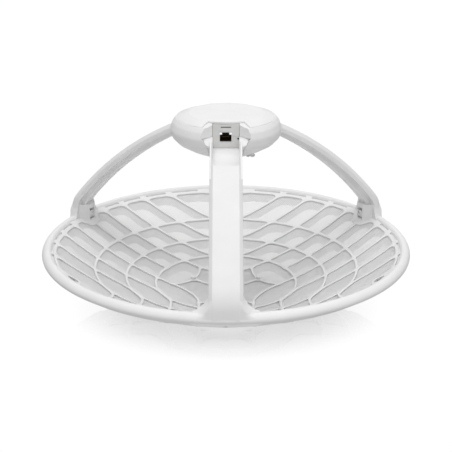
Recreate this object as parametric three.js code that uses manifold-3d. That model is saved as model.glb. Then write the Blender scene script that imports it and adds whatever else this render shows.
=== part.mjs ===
// Outdoor wireless bridge: a round see-through dish on its back, with three arms that carry a radio head
// over its focus. Millimetres, +Z up along the dish axis, origin at the centre of the rear mounting face, and
// the front arm, with the network port, towards -Y.
import * as THREE from 'three';
import { mergeVertices } from 'three/addons/utils/BufferGeometryUtils.js';
import Module from 'manifold-3d';

const wasm = await Module();
wasm.setup();

// ---------- driving dimensions ----------
const GAP = 0.3; // clearance between neighbouring pieces
const OVERRUN = 5; // how far a cutting shape runs past the face it opens
const ARM_AZIMUTHS = { front: 270, back_left: 150, back_right: 30 };
const BISECTORS = [90, 210, 330]; // halfway between the arms

const DISH_RADIUS = 200;
const RIM_TOP = 75.9;
const SKIRT_BOTTOM = 66.3;
const SKIRT_OUTER = 197.9;
const SKIRT_INNER = 196.3;
const LIP_BOTTOM = 63.8; // the skirt hangs lower under each arm foot
const LIP_HALF_ANGLE = 9.2;
const FOCAL_LENGTH = 169;
const VERTEX_Z = 18; // front of the reflector on the axis
const MESH_THICKNESS = 0.8;
const MESH_RADIUS = 185.8;
const SHEET_STEPS = 6;
const FACET_ROOM = 0.6; // the sheet's flat facets stand this much above the true paraboloid
const BAR_ROOM = 0.9; // and the rear bars' straight pieces this much
const FLANGE_INNER = 184.5;
const RIM_PROFILE = [
  [FLANGE_INNER, 68.7],
  [FLANGE_INNER, 69.8],
  [189.6, 72.4],
  [190.8, 75],
  [193.2, RIM_TOP],
  [196.8, 75],
  [199.2, 72.9],
  [DISH_RADIUS, 70.4],
  [199.3, 67.4],
  [SKIRT_OUTER, SKIRT_BOTTOM],
  [SKIRT_INNER, SKIRT_BOTTOM],
  [197.4, 69.6],
  [196.4, 72],
  [193.2, 73.4],
  [191.8, 70.9],
  [187, 68.9],
];
const SEAT_PROFILE = [[177, 67.2], [184.5, 70.1], [189, 72.2], [190.8, RIM_TOP], [205, RIM_TOP]];
const PAD_OUTLINE = [[177, -5], [191, -17], [199, -17], [199, 17], [191, 17], [177, 5]]; // under each foot
const PAD_HEIGHTS = [64, 77]; // before the pad is cut to the seat and the mesh
const SLOT_OUTLINE = [[175.5, 0], [190, -25], [190, 25]]; // open slot in the mesh at each bisector

const RING_RADII = [77.5, 109.8, 143.5];
const LINE_OFFSETS = [29, 58, 87, 116];
const LINE_FILLET = 60;
const CORNER_LINE_OFFSET = 150; // cuts off the open slot at each bisector
const CORNER_LINE_FILLET = 15;
const NODE_RADIUS = 42.5; // where the spokes end in a screw
const NODE_ARC_RADIUS = 51.5;
const NODE_ARC_CENTRE = 94;
const NODE_COLLAR_RADIUS = 3.4;
const NODE_HOLE_RADIUS = 1.5;
const NODE_POST_RADIUS = 4;
const RING_SEGMENTS = 24;
const FRONT_RIB_WIDTH = 2.8;
const FRONT_RIB_HEIGHT = 1.2;
const FRONT_RIB_TOP = GAP + FRONT_RIB_HEIGHT; // above the reflector sheet
const REAR_RIB_WIDTH = 2.6;
const REAR_RIB_DEPTH = 9;
const REAR_WALL_DEPTH = 9;

const HUB_RADIUS = 50;
const HUB_WALL = 3;
const PLATE_RADIUS = 46;
const PLATE_THICKNESS = 4;
const MOUNT_SCREW_CIRCLE = 36;
const MOUNT_HOLE_CIRCLE = 30; // half of the bracket's bolt circle
const MOUNT_HOLE_RADIUS = 3.2;
const MOUNT_BOSS_RADIUS = 4.5;
const MOUNT_BOSS_HEIGHT = 8;
const GRID_SCREW = { head: 2.2, headHeight: 1.2, shank: 1.1, length: 10.7 };
const MOUNT_SCREW = { head: 3.6, headHeight: 2.2, shank: 1.7, length: 10.7 };
const HEAD_SCREW = { head: 3.2, headHeight: 2.2, shank: 1.4, length: 17.1 };

const ARM_HALF_WIDTH = 16.6;
const ARM_SHELL_DEPTH = 8.9;
const ARM_TOTAL_DEPTH = 13.3;
const SPINE_HALF_WIDTH = 6.9;
const ARM_TOP = [56, 205.7]; // distance from the axis and height of the outer face
const ARM_BEND = [190.9, 102];
const ARM_ARC_RADIUS = 402;
const FOOT_OUTER = 199.6;
const FOOT_INNER = 180;
const FOOT_BEND_END = 80;
const FOOT_BEND_RADIUS = 35;
const FOOT_TOP = 88;
const FOOT_INNER_HALF_WIDTH = 5.8;
const LATCH_TRAVEL = 2;
const LATCH_DEPTH = 3.2;
const LATCH_HALF_WIDTH = 3.7;
const LATCH_HEIGHTS = [71.2, 79];
const POCKET_HALF_WIDTH = 4.2;
const POCKET_HEIGHTS = [69.4, 82.6];

const HEAD_RADIUS = 59;
const CAP_EDGE = 53;
const CAP_DISC = 40;
const BODY_TOP = 216.3;
const HEAD_PROFILE = [
  [CAP_EDGE, BODY_TOP],
  [57, 211],
  [HEAD_RADIUS, 204],
  [57.5, 196.2],
  [51, 189.6],
  [21, 175.5],
];
const HEAD_INSIDE = [
  [21, 178.3],
  [49.8, 191.9],
  [55.2, 197.2],
  [56.4, 204],
  [54.8, 210],
  [50.6, 215.4],
  [50.6, BODY_TOP],
];
const CAP_PROFILE = [
  [0, 221.2],
  [25, 221.1],
  [CAP_DISC - 0.5, 220.8],
  [CAP_DISC, 220.6],
  [CAP_EDGE, 216.7],
  [50.6, 216.6],
  [CAP_DISC, 218.4],
  [0, 218.7],
];
const NOTCH_HALF = [[18.7, 230], [18.7, 220], [25.5, 215.6], [27, 208.1], [24, 204.7], [18.1, 195], [18.1, 184]];
const CAP_NOTCH = [[18.7, -35.4], [25.5, -46.5], [28, -60], [-28, -60], [-25.5, -46.5], [-18.7, -35.4]];
const BOSS_CIRCLE = 43;
const BOSS_RADIUS = 5;
const CAP_POST_RADIUS = 4;
const CAP_POST_TOP = 218;
const BOSS_HEIGHTS = [186, 195];
const SCREW_SEAT = 190.4; // where the head screws' heads bear, inside the bosses
const PORT_PLATE_Y = -40;
const BAY_HALF_WIDTH = 14.5;
const BAY_FLOOR_Z = 193.2;
const BAY_END = 88; // where the arm's closed face panel begins
const BAY_DEPTH = 8;
const CHEEK_TOP = 205.9;
const JACK_X = -0.4;
const JACK_Z = [199.8, 209.8];
const BUTTON_X = 12.5;
const BUTTON_Z = 203;
const BUTTON_TRAVEL = 0.4;
const BUTTON_RADIUS = 1.5;
const BUTTON_HOLE_RADIUS = 1.05;
const PORT_PLATE_THICKNESS = 2;
const PORT_PLATE_HEIGHTS = [192.6, 217.4];
const JACK_HALF_WIDTH = 6;
const JACK_STEP_HALF_WIDTH = 3.6;
const JACK_STEP_HEIGHT = 2.4;
const JACK_DEPTH = 15;
const CONTACT_PITCH = 1.02;
const LIGHT_OFFSET = 5.1;
const BOARD_TOP = 197.7;
const BOARD_HALF_WIDTH = 32;
const SHIELD_HEIGHT = 5;
const VENT_X = 25.5;
const VENT_Y = -21;
const HORN_BORE = 6.6;
const HORN_WALL = 1.4;

// ---------- colours ----------
const COLOURS = {
  shell: { color: 0xf2f2f2, roughness: 0.45, metalness: 0 },
  frame: { color: 0xe9e9e9, roughness: 0.5, metalness: 0 },
  mesh: { color: 0xd8d8d8, roughness: 0.4, metalness: 0.3 },
  port: { color: 0xbcbab6, roughness: 0.55, metalness: 0 },
  black: { color: 0x151515, roughness: 0.5, metalness: 0 },
  steel: { color: 0xb8b8b8, roughness: 0.3, metalness: 1 },
  gold: { color: 0xd0a040, roughness: 0.3, metalness: 1 },
  board: { color: 0x1f5a36, roughness: 0.5, metalness: 0 },
  rubber: { color: 0x303030, roughness: 0.8, metalness: 0 },
  clear: { color: 0xf8f8f8, roughness: 0.2, metalness: 0 },
};

const part = new THREE.Group();

// ---------- solids ----------
function solid(geometry) {
  const bare = geometry.clone();
  bare.deleteAttribute('normal');
  bare.deleteAttribute('uv');
  const merged = mergeVertices(bare, 1e-4);
  const mesh = new wasm.Mesh({
    numProp: 3,
    vertProperties: new Float32Array(merged.attributes.position.array),
    triVerts: new Uint32Array(merged.index.array),
  });
  return new wasm.Manifold(mesh);
}

function join(solids) {
  return solids.reduce((whole, next) => whole.add(next));
}

function geometryOf(manifold) {
  const mesh = manifold.getMesh();
  const geometry = new THREE.BufferGeometry();
  geometry.setAttribute('position', new THREE.BufferAttribute(new Float32Array(mesh.vertProperties), 3));
  geometry.setIndex(new THREE.BufferAttribute(new Uint32Array(mesh.triVerts), 1));
  return geometry;
}

function addPiece(name, manifold, colour) {
  const geometry = geometryOf(manifold);
  geometry.computeVertexNormals();
  const mesh = new THREE.Mesh(geometry, new THREE.MeshStandardMaterial(COLOURS[colour]));
  mesh.name = name;
  part.add(mesh);
}

function turned(manifold, azimuth) {
  return solid(geometryOf(manifold).rotateZ(THREE.MathUtils.degToRad(azimuth)));
}

// Solid of revolution about Z from an outline of [radius, height] points, listed either way round.
function lathe(profile, segments = 40) {
  const points = profile.map(([r, z]) => new THREE.Vector2(r, z));
  if (THREE.ShapeUtils.area(points) < 0) {
    points.reverse();
  }
  const geometry = new THREE.LatheGeometry([...points, points[0]], segments);
  return solid(geometry.rotateX(Math.PI / 2));
}

// Straight prism from a plan outline, between two heights.
function prism(outline, low, high) {
  const shape = new THREE.Shape(outline.map(([x, y]) => new THREE.Vector2(x, y)));
  const geometry = new THREE.ExtrudeGeometry(shape, { depth: high - low, bevelEnabled: false });
  return solid(geometry.translate(0, 0, low));
}

// Prism from a side outline of [distance from axis, height], centred on the +X azimuth.
function sidePrism(outline, halfWidth) {
  const shape = new THREE.Shape(outline.map(([x, z]) => new THREE.Vector2(x, z)));
  const geometry = new THREE.ExtrudeGeometry(shape, { depth: 2 * halfWidth, bevelEnabled: false });
  return solid(geometry.rotateX(Math.PI / 2).translate(0, halfWidth, 0));
}

// Prism from a front outline of [x, height], between two distances in front of the axis.
function frontPrism(outline, near, far) {
  const shape = new THREE.Shape(outline.map(([x, z]) => new THREE.Vector2(x, z)));
  const geometry = new THREE.ExtrudeGeometry(shape, { depth: far - near, bevelEnabled: false });
  return solid(geometry.rotateX(Math.PI / 2).translate(0, -near, 0));
}

function box(x0, x1, y0, y1, z0, z1) {
  const geometry = new THREE.BoxGeometry(x1 - x0, y1 - y0, z1 - z0);
  return solid(geometry.translate((x0 + x1) / 2, (y0 + y1) / 2, (z0 + z1) / 2));
}

function post(radius, x, y, low, high, segments = 10) {
  const geometry = new THREE.CylinderGeometry(radius, radius, high - low, segments);
  return solid(geometry.rotateX(Math.PI / 2).translate(x, y, (low + high) / 2));
}

// Cylinder lying along Y.
function rod(radius, x, z, near, far, segments = 12) {
  const geometry = new THREE.CylinderGeometry(radius, radius, far - near, segments);
  return solid(geometry.translate(x, (near + far) / 2, z));
}

function polar(radius, azimuth) {
  const angle = THREE.MathUtils.degToRad(azimuth);
  return [radius * Math.cos(angle), radius * Math.sin(angle)];
}

// Screw pointing up (direction 1) or down (direction -1), with the flat end of its head at `end`.
function screw(x, y, end, direction, size) {
  const span = (length) => [end, end + direction * length].sort((a, b) => a - b);
  const head = post(size.head, x, y, ...span(size.headHeight), 10);
  return head.add(post(size.shank, x, y, ...span(size.length), 6));
}

// ---------- the reflector's paraboloid and its lattice ----------
function meshTop(radius) {
  return VERTEX_Z + (radius * radius) / (4 * FOCAL_LENGTH);
}

// A bar bent along a plan path, with its top and bottom following the paraboloid.
function bentBar(path, width, topOffset, depth) {
  const steps = path.length - 1;
  const geometry = new THREE.BoxGeometry(1, 1, 1, steps, 1, 1);
  const position = geometry.attributes.position;
  for (let i = 0; i < position.count; i += 1) {
    const at = Math.round((position.getX(i) + 0.5) * steps);
    const here = path[at];
    const before = path[Math.max(at - 1, 0)];
    const after = path[Math.min(at + 1, steps)];
    const along = after.clone().sub(before).normalize();
    const side = position.getY(i) * width;
    const x = here.x - along.y * side;
    const y = here.y + along.x * side;
    const top = meshTop(Math.hypot(x, y)) + topOffset;
    position.setXYZ(i, x, y, position.getZ(i) > 0 ? top : top - depth);
  }
  return solid(geometry);
}

// Plan path of a rib that runs in beside one arm, rounds the corner at the bisector and runs out beside the
// next arm.
function cornerPath(offset, fillet, outerRadius, armSteps, cornerSteps) {
  const corner = offset / Math.cos(Math.PI / 6);
  const tangent = fillet * Math.tan(Math.PI / 6);
  const reach = Math.sqrt(outerRadius ** 2 - offset ** 2) - offset * Math.tan(Math.PI / 6);
  const half = [];
  for (let i = 0; i < armSteps; i += 1) {
    const s = reach + ((tangent - reach) * i) / armSteps;
    half.push(new THREE.Vector2(corner + s / 2, (s * Math.sqrt(3)) / 2));
  }
  const centre = corner + fillet / Math.cos(Math.PI / 6);
  const arc = [];
  for (let i = 0; i <= cornerSteps; i += 1) {
    const angle = Math.PI - Math.PI / 6 + (Math.PI / 3) * (i / cornerSteps);
    arc.push(new THREE.Vector2(centre + fillet * Math.cos(angle), fillet * Math.sin(angle)));
  }
  const mirrored = half.map((p) => new THREE.Vector2(p.x, -p.y)).reverse();
  return [...half, ...arc, ...mirrored];
}

function straightPath(from, to, steps) {
  const path = [];
  for (let i = 0; i <= steps; i += 1) {
    path.push(new THREE.Vector2(from + ((to - from) * i) / steps, 0));
  }
  return path;
}

function nodeArcPath() {
  const path = [];
  for (let i = -2; i <= 2; i += 1) {
    const angle = Math.PI + (i / 2) * 0.6;
    const x = NODE_ARC_CENTRE + NODE_ARC_RADIUS * Math.cos(angle);
    path.push(new THREE.Vector2(x, NODE_ARC_RADIUS * Math.sin(angle)));
  }
  return path;
}

function ringBar(radius, width, topOffset, depth) {
  const inner = radius - width / 2;
  const outer = radius + width / 2;
  return lathe([
    [inner, meshTop(inner) + topOffset],
    [outer, meshTop(outer) + topOffset],
    [outer, meshTop(outer) + topOffset - depth],
    [inner, meshTop(inner) + topOffset - depth],
  ], RING_SEGMENTS);
}

function lattice(width, topOffset, depth, outerRadius) {
  const bars = RING_RADII.map((radius) => ringBar(radius, width, topOffset, depth));
  for (const azimuth of BISECTORS) {
    for (const offset of LINE_OFFSETS) {
      const path = cornerPath(offset, LINE_FILLET, outerRadius, 3, 3);
      bars.push(turned(bentBar(path, width, topOffset, depth), azimuth));
    }
  }
  for (const azimuth of Object.values(ARM_AZIMUTHS)) {
    const innerSpoke = straightPath(0, NODE_RADIUS, 1);
    const outerSpoke = straightPath(RING_RADII[0], outerRadius, 3);
    for (const path of [innerSpoke, outerSpoke, nodeArcPath()]) {
      bars.push(turned(bentBar(path, width, topOffset, depth), azimuth));
    }
  }
  return join(bars);
}

// The short ribs that cut off the open slot at each bisector.
function cornerBars(width, topOffset, depth, outerRadius) {
  const path = cornerPath(CORNER_LINE_OFFSET, CORNER_LINE_FILLET, outerRadius, 1, 2);
  const bar = bentBar(path, width, topOffset, depth);
  return BISECTORS.map((azimuth) => turned(bar, azimuth));
}

// ---------- reflector ----------
// Everything below the seat that the arm feet stand on, raised by `lift`.
function belowSeat(lift) {
  const seat = SEAT_PROFILE.map(([r, z]) => [r, z + lift]);
  return lathe([[0, 50], [0, seat[0][1]], ...seat, [205, 50]]);
}

// Space that the mesh and its clearance take up under the pads.
function underPads() {
  const steps = 6;
  const start = 165;
  const profile = [[start, 50]];
  for (let i = 0; i <= steps; i += 1) {
    const radius = start + ((MESH_RADIUS + 1 - start) * i) / steps;
    profile.push([radius, meshTop(radius) + GAP]);
  }
  return lathe([...profile, [191, 68], [191, 50]]);
}

// The skirt's deeper piece under an arm foot, at azimuth 0.
function skirtLip() {
  const outline = [];
  for (const [radius, direction] of [[SKIRT_OUTER, 1], [SKIRT_INNER, -1]]) {
    for (let i = -3; i <= 3; i += 1) {
      outline.push(polar(radius, (direction * i * LIP_HALF_ANGLE) / 3));
    }
  }
  return prism(outline, LIP_BOTTOM, SKIRT_BOTTOM + 0.5);
}

function latticeNodes() {
  return Object.values(ARM_AZIMUTHS).map((azimuth) => polar(NODE_RADIUS, azimuth));
}

function buildFrontFrame() {
  const pad = prism(PAD_OUTLINE, ...PAD_HEIGHTS);
  const cutPad = pad.subtract(underPads()).intersect(belowSeat(0));
  const extras = cornerBars(FRONT_RIB_WIDTH, FRONT_RIB_TOP, FRONT_RIB_HEIGHT, FLANGE_INNER + 1);
  for (const azimuth of Object.values(ARM_AZIMUTHS)) {
    extras.push(turned(cutPad, azimuth), turned(skirtLip(), azimuth));
  }
  addPiece('front_frame', join([lathe(RIM_PROFILE), ...extras]), 'frame');
}

// The front ribs, short of the rim and of its pads, with a screw at each node.
function buildFrontGrid() {
  const ribs = lattice(FRONT_RIB_WIDTH, FRONT_RIB_TOP, FRONT_RIB_HEIGHT, FLANGE_INNER + 1);
  const ribTop = meshTop(NODE_RADIUS) + FRONT_RIB_TOP;
  const collars = latticeNodes().map(([x, y]) => post(NODE_COLLAR_RADIUS, x, y, ribTop - 1, ribTop + 0.2));
  let grid = join([ribs, ...collars]).intersect(post(FLANGE_INNER - GAP, 0, 0, 0, RIM_TOP, 40));
  const padRoom = PAD_OUTLINE.map(([x, y]) => [x - 0.4, y + Math.sign(y) * 0.4]);
  for (const azimuth of Object.values(ARM_AZIMUTHS)) {
    grid = grid.subtract(turned(prism(padRoom, ...PAD_HEIGHTS), azimuth));
  }
  latticeNodes().forEach(([x, y], i) => {
    grid = grid.subtract(post(NODE_HOLE_RADIUS, x, y, ribTop - OVERRUN, ribTop + OVERRUN));
    const screwEnd = ribTop + 0.2 + GAP + GRID_SCREW.headHeight;
    addPiece(`grid_screw_${i + 1}`, screw(x, y, screwEnd, -1, GRID_SCREW), 'steel');
  });
  addPiece('front_grid', grid, 'frame');
}

function buildMesh() {
  const top = [];
  for (let i = 0; i <= SHEET_STEPS; i += 1) {
    const radius = (MESH_RADIUS * i) / SHEET_STEPS;
    top.push([radius, meshTop(radius) - FACET_ROOM]);
  }
  const underside = top.map(([r, z]) => [r, z - MESH_THICKNESS]).reverse();
  let sheet = lathe([...top, ...underside]);
  for (const azimuth of BISECTORS) {
    sheet = sheet.subtract(turned(prism(SLOT_OUTLINE, VERTEX_Z, RIM_TOP + OVERRUN), azimuth));
  }
  for (const [x, y] of latticeNodes()) {
    sheet = sheet.subtract(post(NODE_HOLE_RADIUS, x, y, VERTEX_Z - OVERRUN, VERTEX_Z + OVERRUN));
  }
  addPiece('reflector_mesh', sheet, 'mesh');
}

function buildRearFrame() {
  const underMesh = -FACET_ROOM - MESH_THICKNESS - GAP - BAR_ROOM;
  const wallTop = meshTop(FLANGE_INNER) + underMesh;
  const outerRadius = FLANGE_INNER + 1.5;
  const corners = cornerBars(REAR_RIB_WIDTH, underMesh, REAR_RIB_DEPTH, outerRadius);
  const ribs = join([lattice(REAR_RIB_WIDTH, underMesh, REAR_RIB_DEPTH, outerRadius), ...corners]);
  const wall = lathe([
    [FLANGE_INNER, wallTop],
    [FLANGE_INNER + REAR_RIB_WIDTH, wallTop],
    [FLANGE_INNER + REAR_RIB_WIDTH, wallTop - REAR_WALL_DEPTH],
    [FLANGE_INNER, wallTop - REAR_WALL_DEPTH],
  ]);
  const floor = PLATE_THICKNESS + GAP;
  const inner = HUB_RADIUS - HUB_WALL;
  const hub = lathe([
    [0, floor],
    [HUB_RADIUS, floor],
    [HUB_RADIUS, meshTop(HUB_RADIUS) + underMesh],
    [inner, meshTop(inner) + underMesh],
    [inner, floor + HUB_WALL],
    [0, floor + HUB_WALL],
  ], 32);
  const hubSpace = (room) => post(HUB_RADIUS + room, 0, 0, 0, RIM_TOP, 32);
  addPiece('rear_frame', join([ribs, wall]).subtract(hubSpace(GAP)), 'frame');

  const postTop = meshTop(NODE_RADIUS - NODE_POST_RADIUS) + underMesh;
  const posts = latticeNodes().map(([x, y]) => post(NODE_POST_RADIUS, x, y, floor + 1, postTop));
  const bosses = mountScrews().map(([x, y]) => (
    post(MOUNT_BOSS_RADIUS, x, y, floor + 1, floor + MOUNT_BOSS_HEIGHT)
  ));
  let middle = join([ribs.intersect(hubSpace(-1)), hub, ...posts, ...bosses]);
  for (const [x, y] of latticeNodes()) {
    middle = middle.subtract(post(NODE_HOLE_RADIUS, x, y, floor + HUB_WALL + 2, postTop + OVERRUN));
  }
  for (const [x, y] of mountScrews()) {
    middle = middle.subtract(post(2, x, y, floor - OVERRUN, floor + MOUNT_BOSS_HEIGHT - 1));
  }
  addPiece('rear_hub', middle, 'frame');
}

function mountScrews() {
  return [45, 135, 225, 315].map((azimuth) => polar(MOUNT_SCREW_CIRCLE, azimuth));
}

function buildMount() {
  const edge = 1;
  let plate = lathe([
    [0, 0],
    [PLATE_RADIUS - edge, 0],
    [PLATE_RADIUS, edge],
    [PLATE_RADIUS, PLATE_THICKNESS],
    [0, PLATE_THICKNESS],
  ], 32);
  const headRecess = MOUNT_SCREW.headHeight + 2 * GAP;
  mountScrews().forEach(([x, y], i) => {
    plate = plate.subtract(post(4, x, y, -OVERRUN, headRecess));
    plate = plate.subtract(post(2, x, y, 0, PLATE_THICKNESS + OVERRUN));
    addPiece(`mount_screw_${i + 1}`, screw(x, y, GAP, 1, MOUNT_SCREW), 'steel');
  });
  for (const azimuth of [0, 90, 180, 270]) {
    const [x, y] = polar(MOUNT_HOLE_CIRCLE, azimuth);
    plate = plate.subtract(post(MOUNT_HOLE_RADIUS, x, y, -OVERRUN, PLATE_THICKNESS + OVERRUN, 16));
  }
  addPiece('mount_plate', plate, 'steel');
}

// ---------- arms ----------
// Points on an arc that bulges up and outwards from start to end.
function arcPoints([x0, z0], [x1, z1], radius, steps) {
  const chord = Math.hypot(x1 - x0, z1 - z0);
  const rise = Math.sqrt(radius ** 2 - (chord / 2) ** 2);
  const cx = (x0 + x1) / 2 - ((z0 - z1) / chord) * rise;
  const cz = (z0 + z1) / 2 - ((x1 - x0) / chord) * rise;
  const start = Math.atan2(z0 - cz, x0 - cx);
  const end = Math.atan2(z1 - cz, x1 - cx);
  const points = [];
  for (let i = 0; i <= steps; i += 1) {
    const angle = start + ((end - start) * i) / steps;
    points.push([cx + radius * Math.cos(angle), cz + radius * Math.sin(angle)]);
  }
  return points;
}

function armOuter() {
  const main = arcPoints(ARM_TOP, ARM_BEND, ARM_ARC_RADIUS, 6);
  const bend = arcPoints(ARM_BEND, [FOOT_OUTER, FOOT_BEND_END], FOOT_BEND_RADIUS, 4);
  return [...main, ...bend.slice(1)];
}

// The same curve moved inwards, square to itself.
function movedIn(curve, depth) {
  return curve.map(([x, z], i) => {
    const [x0, z0] = curve[Math.max(i - 1, 0)];
    const [x1, z1] = curve[Math.min(i + 1, curve.length - 1)];
    const length = Math.hypot(x1 - x0, z1 - z0);
    return [x + ((z1 - z0) / length) * depth, z - ((x1 - x0) / length) * depth];
  });
}

function armBody() {
  const outer = armOuter();
  const lip = movedIn(outer, ARM_SHELL_DEPTH);
  const inner = movedIn(outer, ARM_TOTAL_DEPTH);
  const shell = sidePrism([...outer, ...lip.reverse()], ARM_HALF_WIDTH);
  const spineTop = movedIn(outer, ARM_SHELL_DEPTH - 1);
  const spine = sidePrism([...spineTop, ...inner.reverse()], SPINE_HALF_WIDTH);
  const footOutline = [
    [FOOT_INNER, -FOOT_INNER_HALF_WIDTH],
    [FOOT_OUTER - 4, -ARM_HALF_WIDTH],
    [FOOT_OUTER, -ARM_HALF_WIDTH],
    [FOOT_OUTER, ARM_HALF_WIDTH],
    [FOOT_OUTER - 4, ARM_HALF_WIDTH],
    [FOOT_INNER, FOOT_INNER_HALF_WIDTH],
  ];
  const foot = prism(footOutline, 60, FOOT_TOP);
  const pocketEnd = FOOT_INNER + LATCH_DEPTH + LATCH_TRAVEL + 2;
  const half = POCKET_HALF_WIDTH;
  const pocket = box(FOOT_INNER - OVERRUN, pocketEnd, -half, half, ...POCKET_HEIGHTS);
  return join([shell, spine, foot]).subtract(belowSeat(GAP)).subtract(pocket);
}

// Outside of the head below its cap, filled in up to well above the cap and grown by `grow`.
function headHull(grow, top) {
  const outline = HEAD_PROFILE.map(([r, z], i) => [r + (r > 21 ? grow : 0), z - (i > 2 ? grow : 0)]);
  return lathe([[0, top], ...outline, [0, 172]]);
}

// The latch tongue with its sloping nose, at azimuth 0.
function latch() {
  const half = LATCH_HALF_WIDTH;
  const tongue = box(FOOT_INNER + 0.6, FOOT_INNER + 0.6 + LATCH_DEPTH, -half, half, ...LATCH_HEIGHTS);
  const [low, high] = LATCH_HEIGHTS;
  const nose = sidePrism([
    [FOOT_INNER + 0.1, low + 1.2],
    [FOOT_INNER + 1, low + 1.2],
    [FOOT_INNER + 1, high - 0.8],
    [FOOT_INNER + 0.5, high - 0.8],
  ], half - 0.8);
  return tongue.add(nose);
}

function buildArms() {
  const headSpace = headHull(GAP, 230);
  const whole = armBody();
  const arm = whole.subtract(headSpace);
  for (const side of ['back_left', 'back_right']) {
    addPiece(`arm_${side}`, turned(arm, ARM_AZIMUTHS[side]), 'shell');
  }
  addPiece('arm_front', frontArm(turned(whole, ARM_AZIMUTHS.front), headSpace), 'shell');
  for (const [side, azimuth] of Object.entries(ARM_AZIMUTHS)) {
    addPiece(`foot_latch_${side}`, turned(latch(), azimuth), 'shell');
  }
}

// The front arm opens at its head end into a bay with the port plate at its back.
function frontArm(arm, headSpace) {
  const half = [
    [24.5, CHEEK_TOP - GAP],
    [23.6, 204.8],
    [17.7, 195],
    [17.7, BAY_FLOOR_Z - 3],
  ];
  const cheekOutline = [...half, ...half.map(([x, z]) => [-x, z]).reverse()];
  const throughNotch = frontPrism(cheekOutline, -PORT_PLATE_Y + GAP, HEAD_RADIUS + OVERRUN);
  const cheeks = throughNotch.intersect(headHull(0, 230));
  const bayFloor = movedIn(armOuter(), BAY_DEPTH);
  const [[floorX, floorZ], [nextX, nextZ]] = [bayFloor[1], bayFloor[2]];
  const endZ = floorZ + ((BAY_END - floorX) * (nextZ - floorZ)) / (nextX - floorX);
  const bay = sidePrism([
    [-PORT_PLATE_Y - OVERRUN, BAY_FLOOR_Z],
    [ARM_TOP[0], BAY_FLOOR_Z],
    [floorX, floorZ],
    [BAY_END, endZ],
    [BAY_END, 240],
    [-PORT_PLATE_Y - OVERRUN, 240],
  ], BAY_HALF_WIDTH);
  const keptOut = headSpace.subtract(throughNotch);
  return arm.subtract(keptOut).add(cheeks).subtract(turned(bay, ARM_AZIMUTHS.front));
}

// ---------- head ----------
// The notch in the front of the head, running in to `near` in front of the axis.
function headNotch(near) {
  const outline = [...NOTCH_HALF, ...NOTCH_HALF.map(([x, z]) => [-x, z]).reverse()];
  return frontPrism(outline.reverse(), near, HEAD_RADIUS + 16);
}

function buildHead() {
  const plateRoom = BAY_HALF_WIDTH + GAP;
  const surroundBack = PORT_PLATE_Y + PORT_PLATE_THICKNESS + 0.4;
  const surround = box(-30, 30, -HEAD_RADIUS - OVERRUN, surroundBack, 185, 215.4);
  const filled = lathe([...HEAD_PROFILE, ...HEAD_INSIDE]).add(surround.intersect(headHull(0, BODY_TOP)));
  const lowerNotch = headNotch(-PORT_PLATE_Y).intersect(box(-40, 40, -80, 0, 170, CHEEK_TOP));
  // The notch's side walls splay outwards above the arm's cheeks.
  const splayHalf = [
    [plateRoom, surroundBack + GAP],
    [plateRoom, PORT_PLATE_Y - 1],
    [27, -53],
    [27, -70],
  ];
  const splayOutline = [...splayHalf, ...splayHalf.map(([x, y]) => [-x, y]).reverse()];
  const splay = prism(splayOutline.reverse(), CHEEK_TOP - 0.1, 240);
  const plateSpace = box(-plateRoom, plateRoom, PORT_PLATE_Y - 1, -30, PORT_PLATE_HEIGHTS[0] - 0.4, 240);
  let body = filled.subtract(lowerNotch).subtract(splay.intersect(headNotch(30))).subtract(plateSpace);

  const capNotch = prism([...CAP_NOTCH].reverse(), 200, 221);
  let cap = lathe(CAP_PROFILE).subtract(capNotch.subtract(post(CAP_DISC, 0, 0, 190, 230, 40)));
  const insideHull = headHull(0, BODY_TOP);
  BISECTORS.forEach((azimuth, i) => {
    const [x, y] = polar(BOSS_CIRCLE, azimuth);
    body = body.add(post(BOSS_RADIUS, x, y, ...BOSS_HEIGHTS).intersect(insideHull));
    body = body.subtract(post(HEAD_SCREW.head + 0.4, x, y, 180, SCREW_SEAT));
    body = body.subtract(post(1.7, x, y, 180, 200));
    cap = cap.add(post(CAP_POST_RADIUS, x, y, BOSS_HEIGHTS[1] + 0.4, CAP_POST_TOP));
    cap = cap.subtract(post(1.7, x, y, 190, 207));
    const screwEnd = SCREW_SEAT - GAP - HEAD_SCREW.headHeight;
    addPiece(`head_screw_${i + 1}`, screw(x, y, screwEnd, 1, HEAD_SCREW), 'steel');
  });
  addPiece('head_body', body.subtract(post(4.4, VENT_X, VENT_Y, 170, 190)), 'shell');
  addPiece('head_cap', cap, 'shell');
}

// The RJ45 opening: a wide mouth with a narrower step above it for the plug's tab.
function jackOpening(near, far) {
  const [low, high] = JACK_Z;
  const stepTop = high - JACK_STEP_HEIGHT;
  const mouth = box(JACK_X - JACK_HALF_WIDTH, JACK_X + JACK_HALF_WIDTH, near, far, low, stepTop);
  return mouth.add(box(JACK_X - JACK_STEP_HALF_WIDTH, JACK_X + JACK_STEP_HALF_WIDTH, near, far, low, high));
}

// A small light beside the step, grown by `grow` for the window it sits in.
function portLight(side, near, far, grow) {
  const centre = JACK_X + side * LIGHT_OFFSET;
  const half = 0.6 + grow;
  return box(centre - half, centre + half, near, far, JACK_Z[1] - 1.7 - grow, JACK_Z[1] - 0.5 + grow);
}

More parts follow.
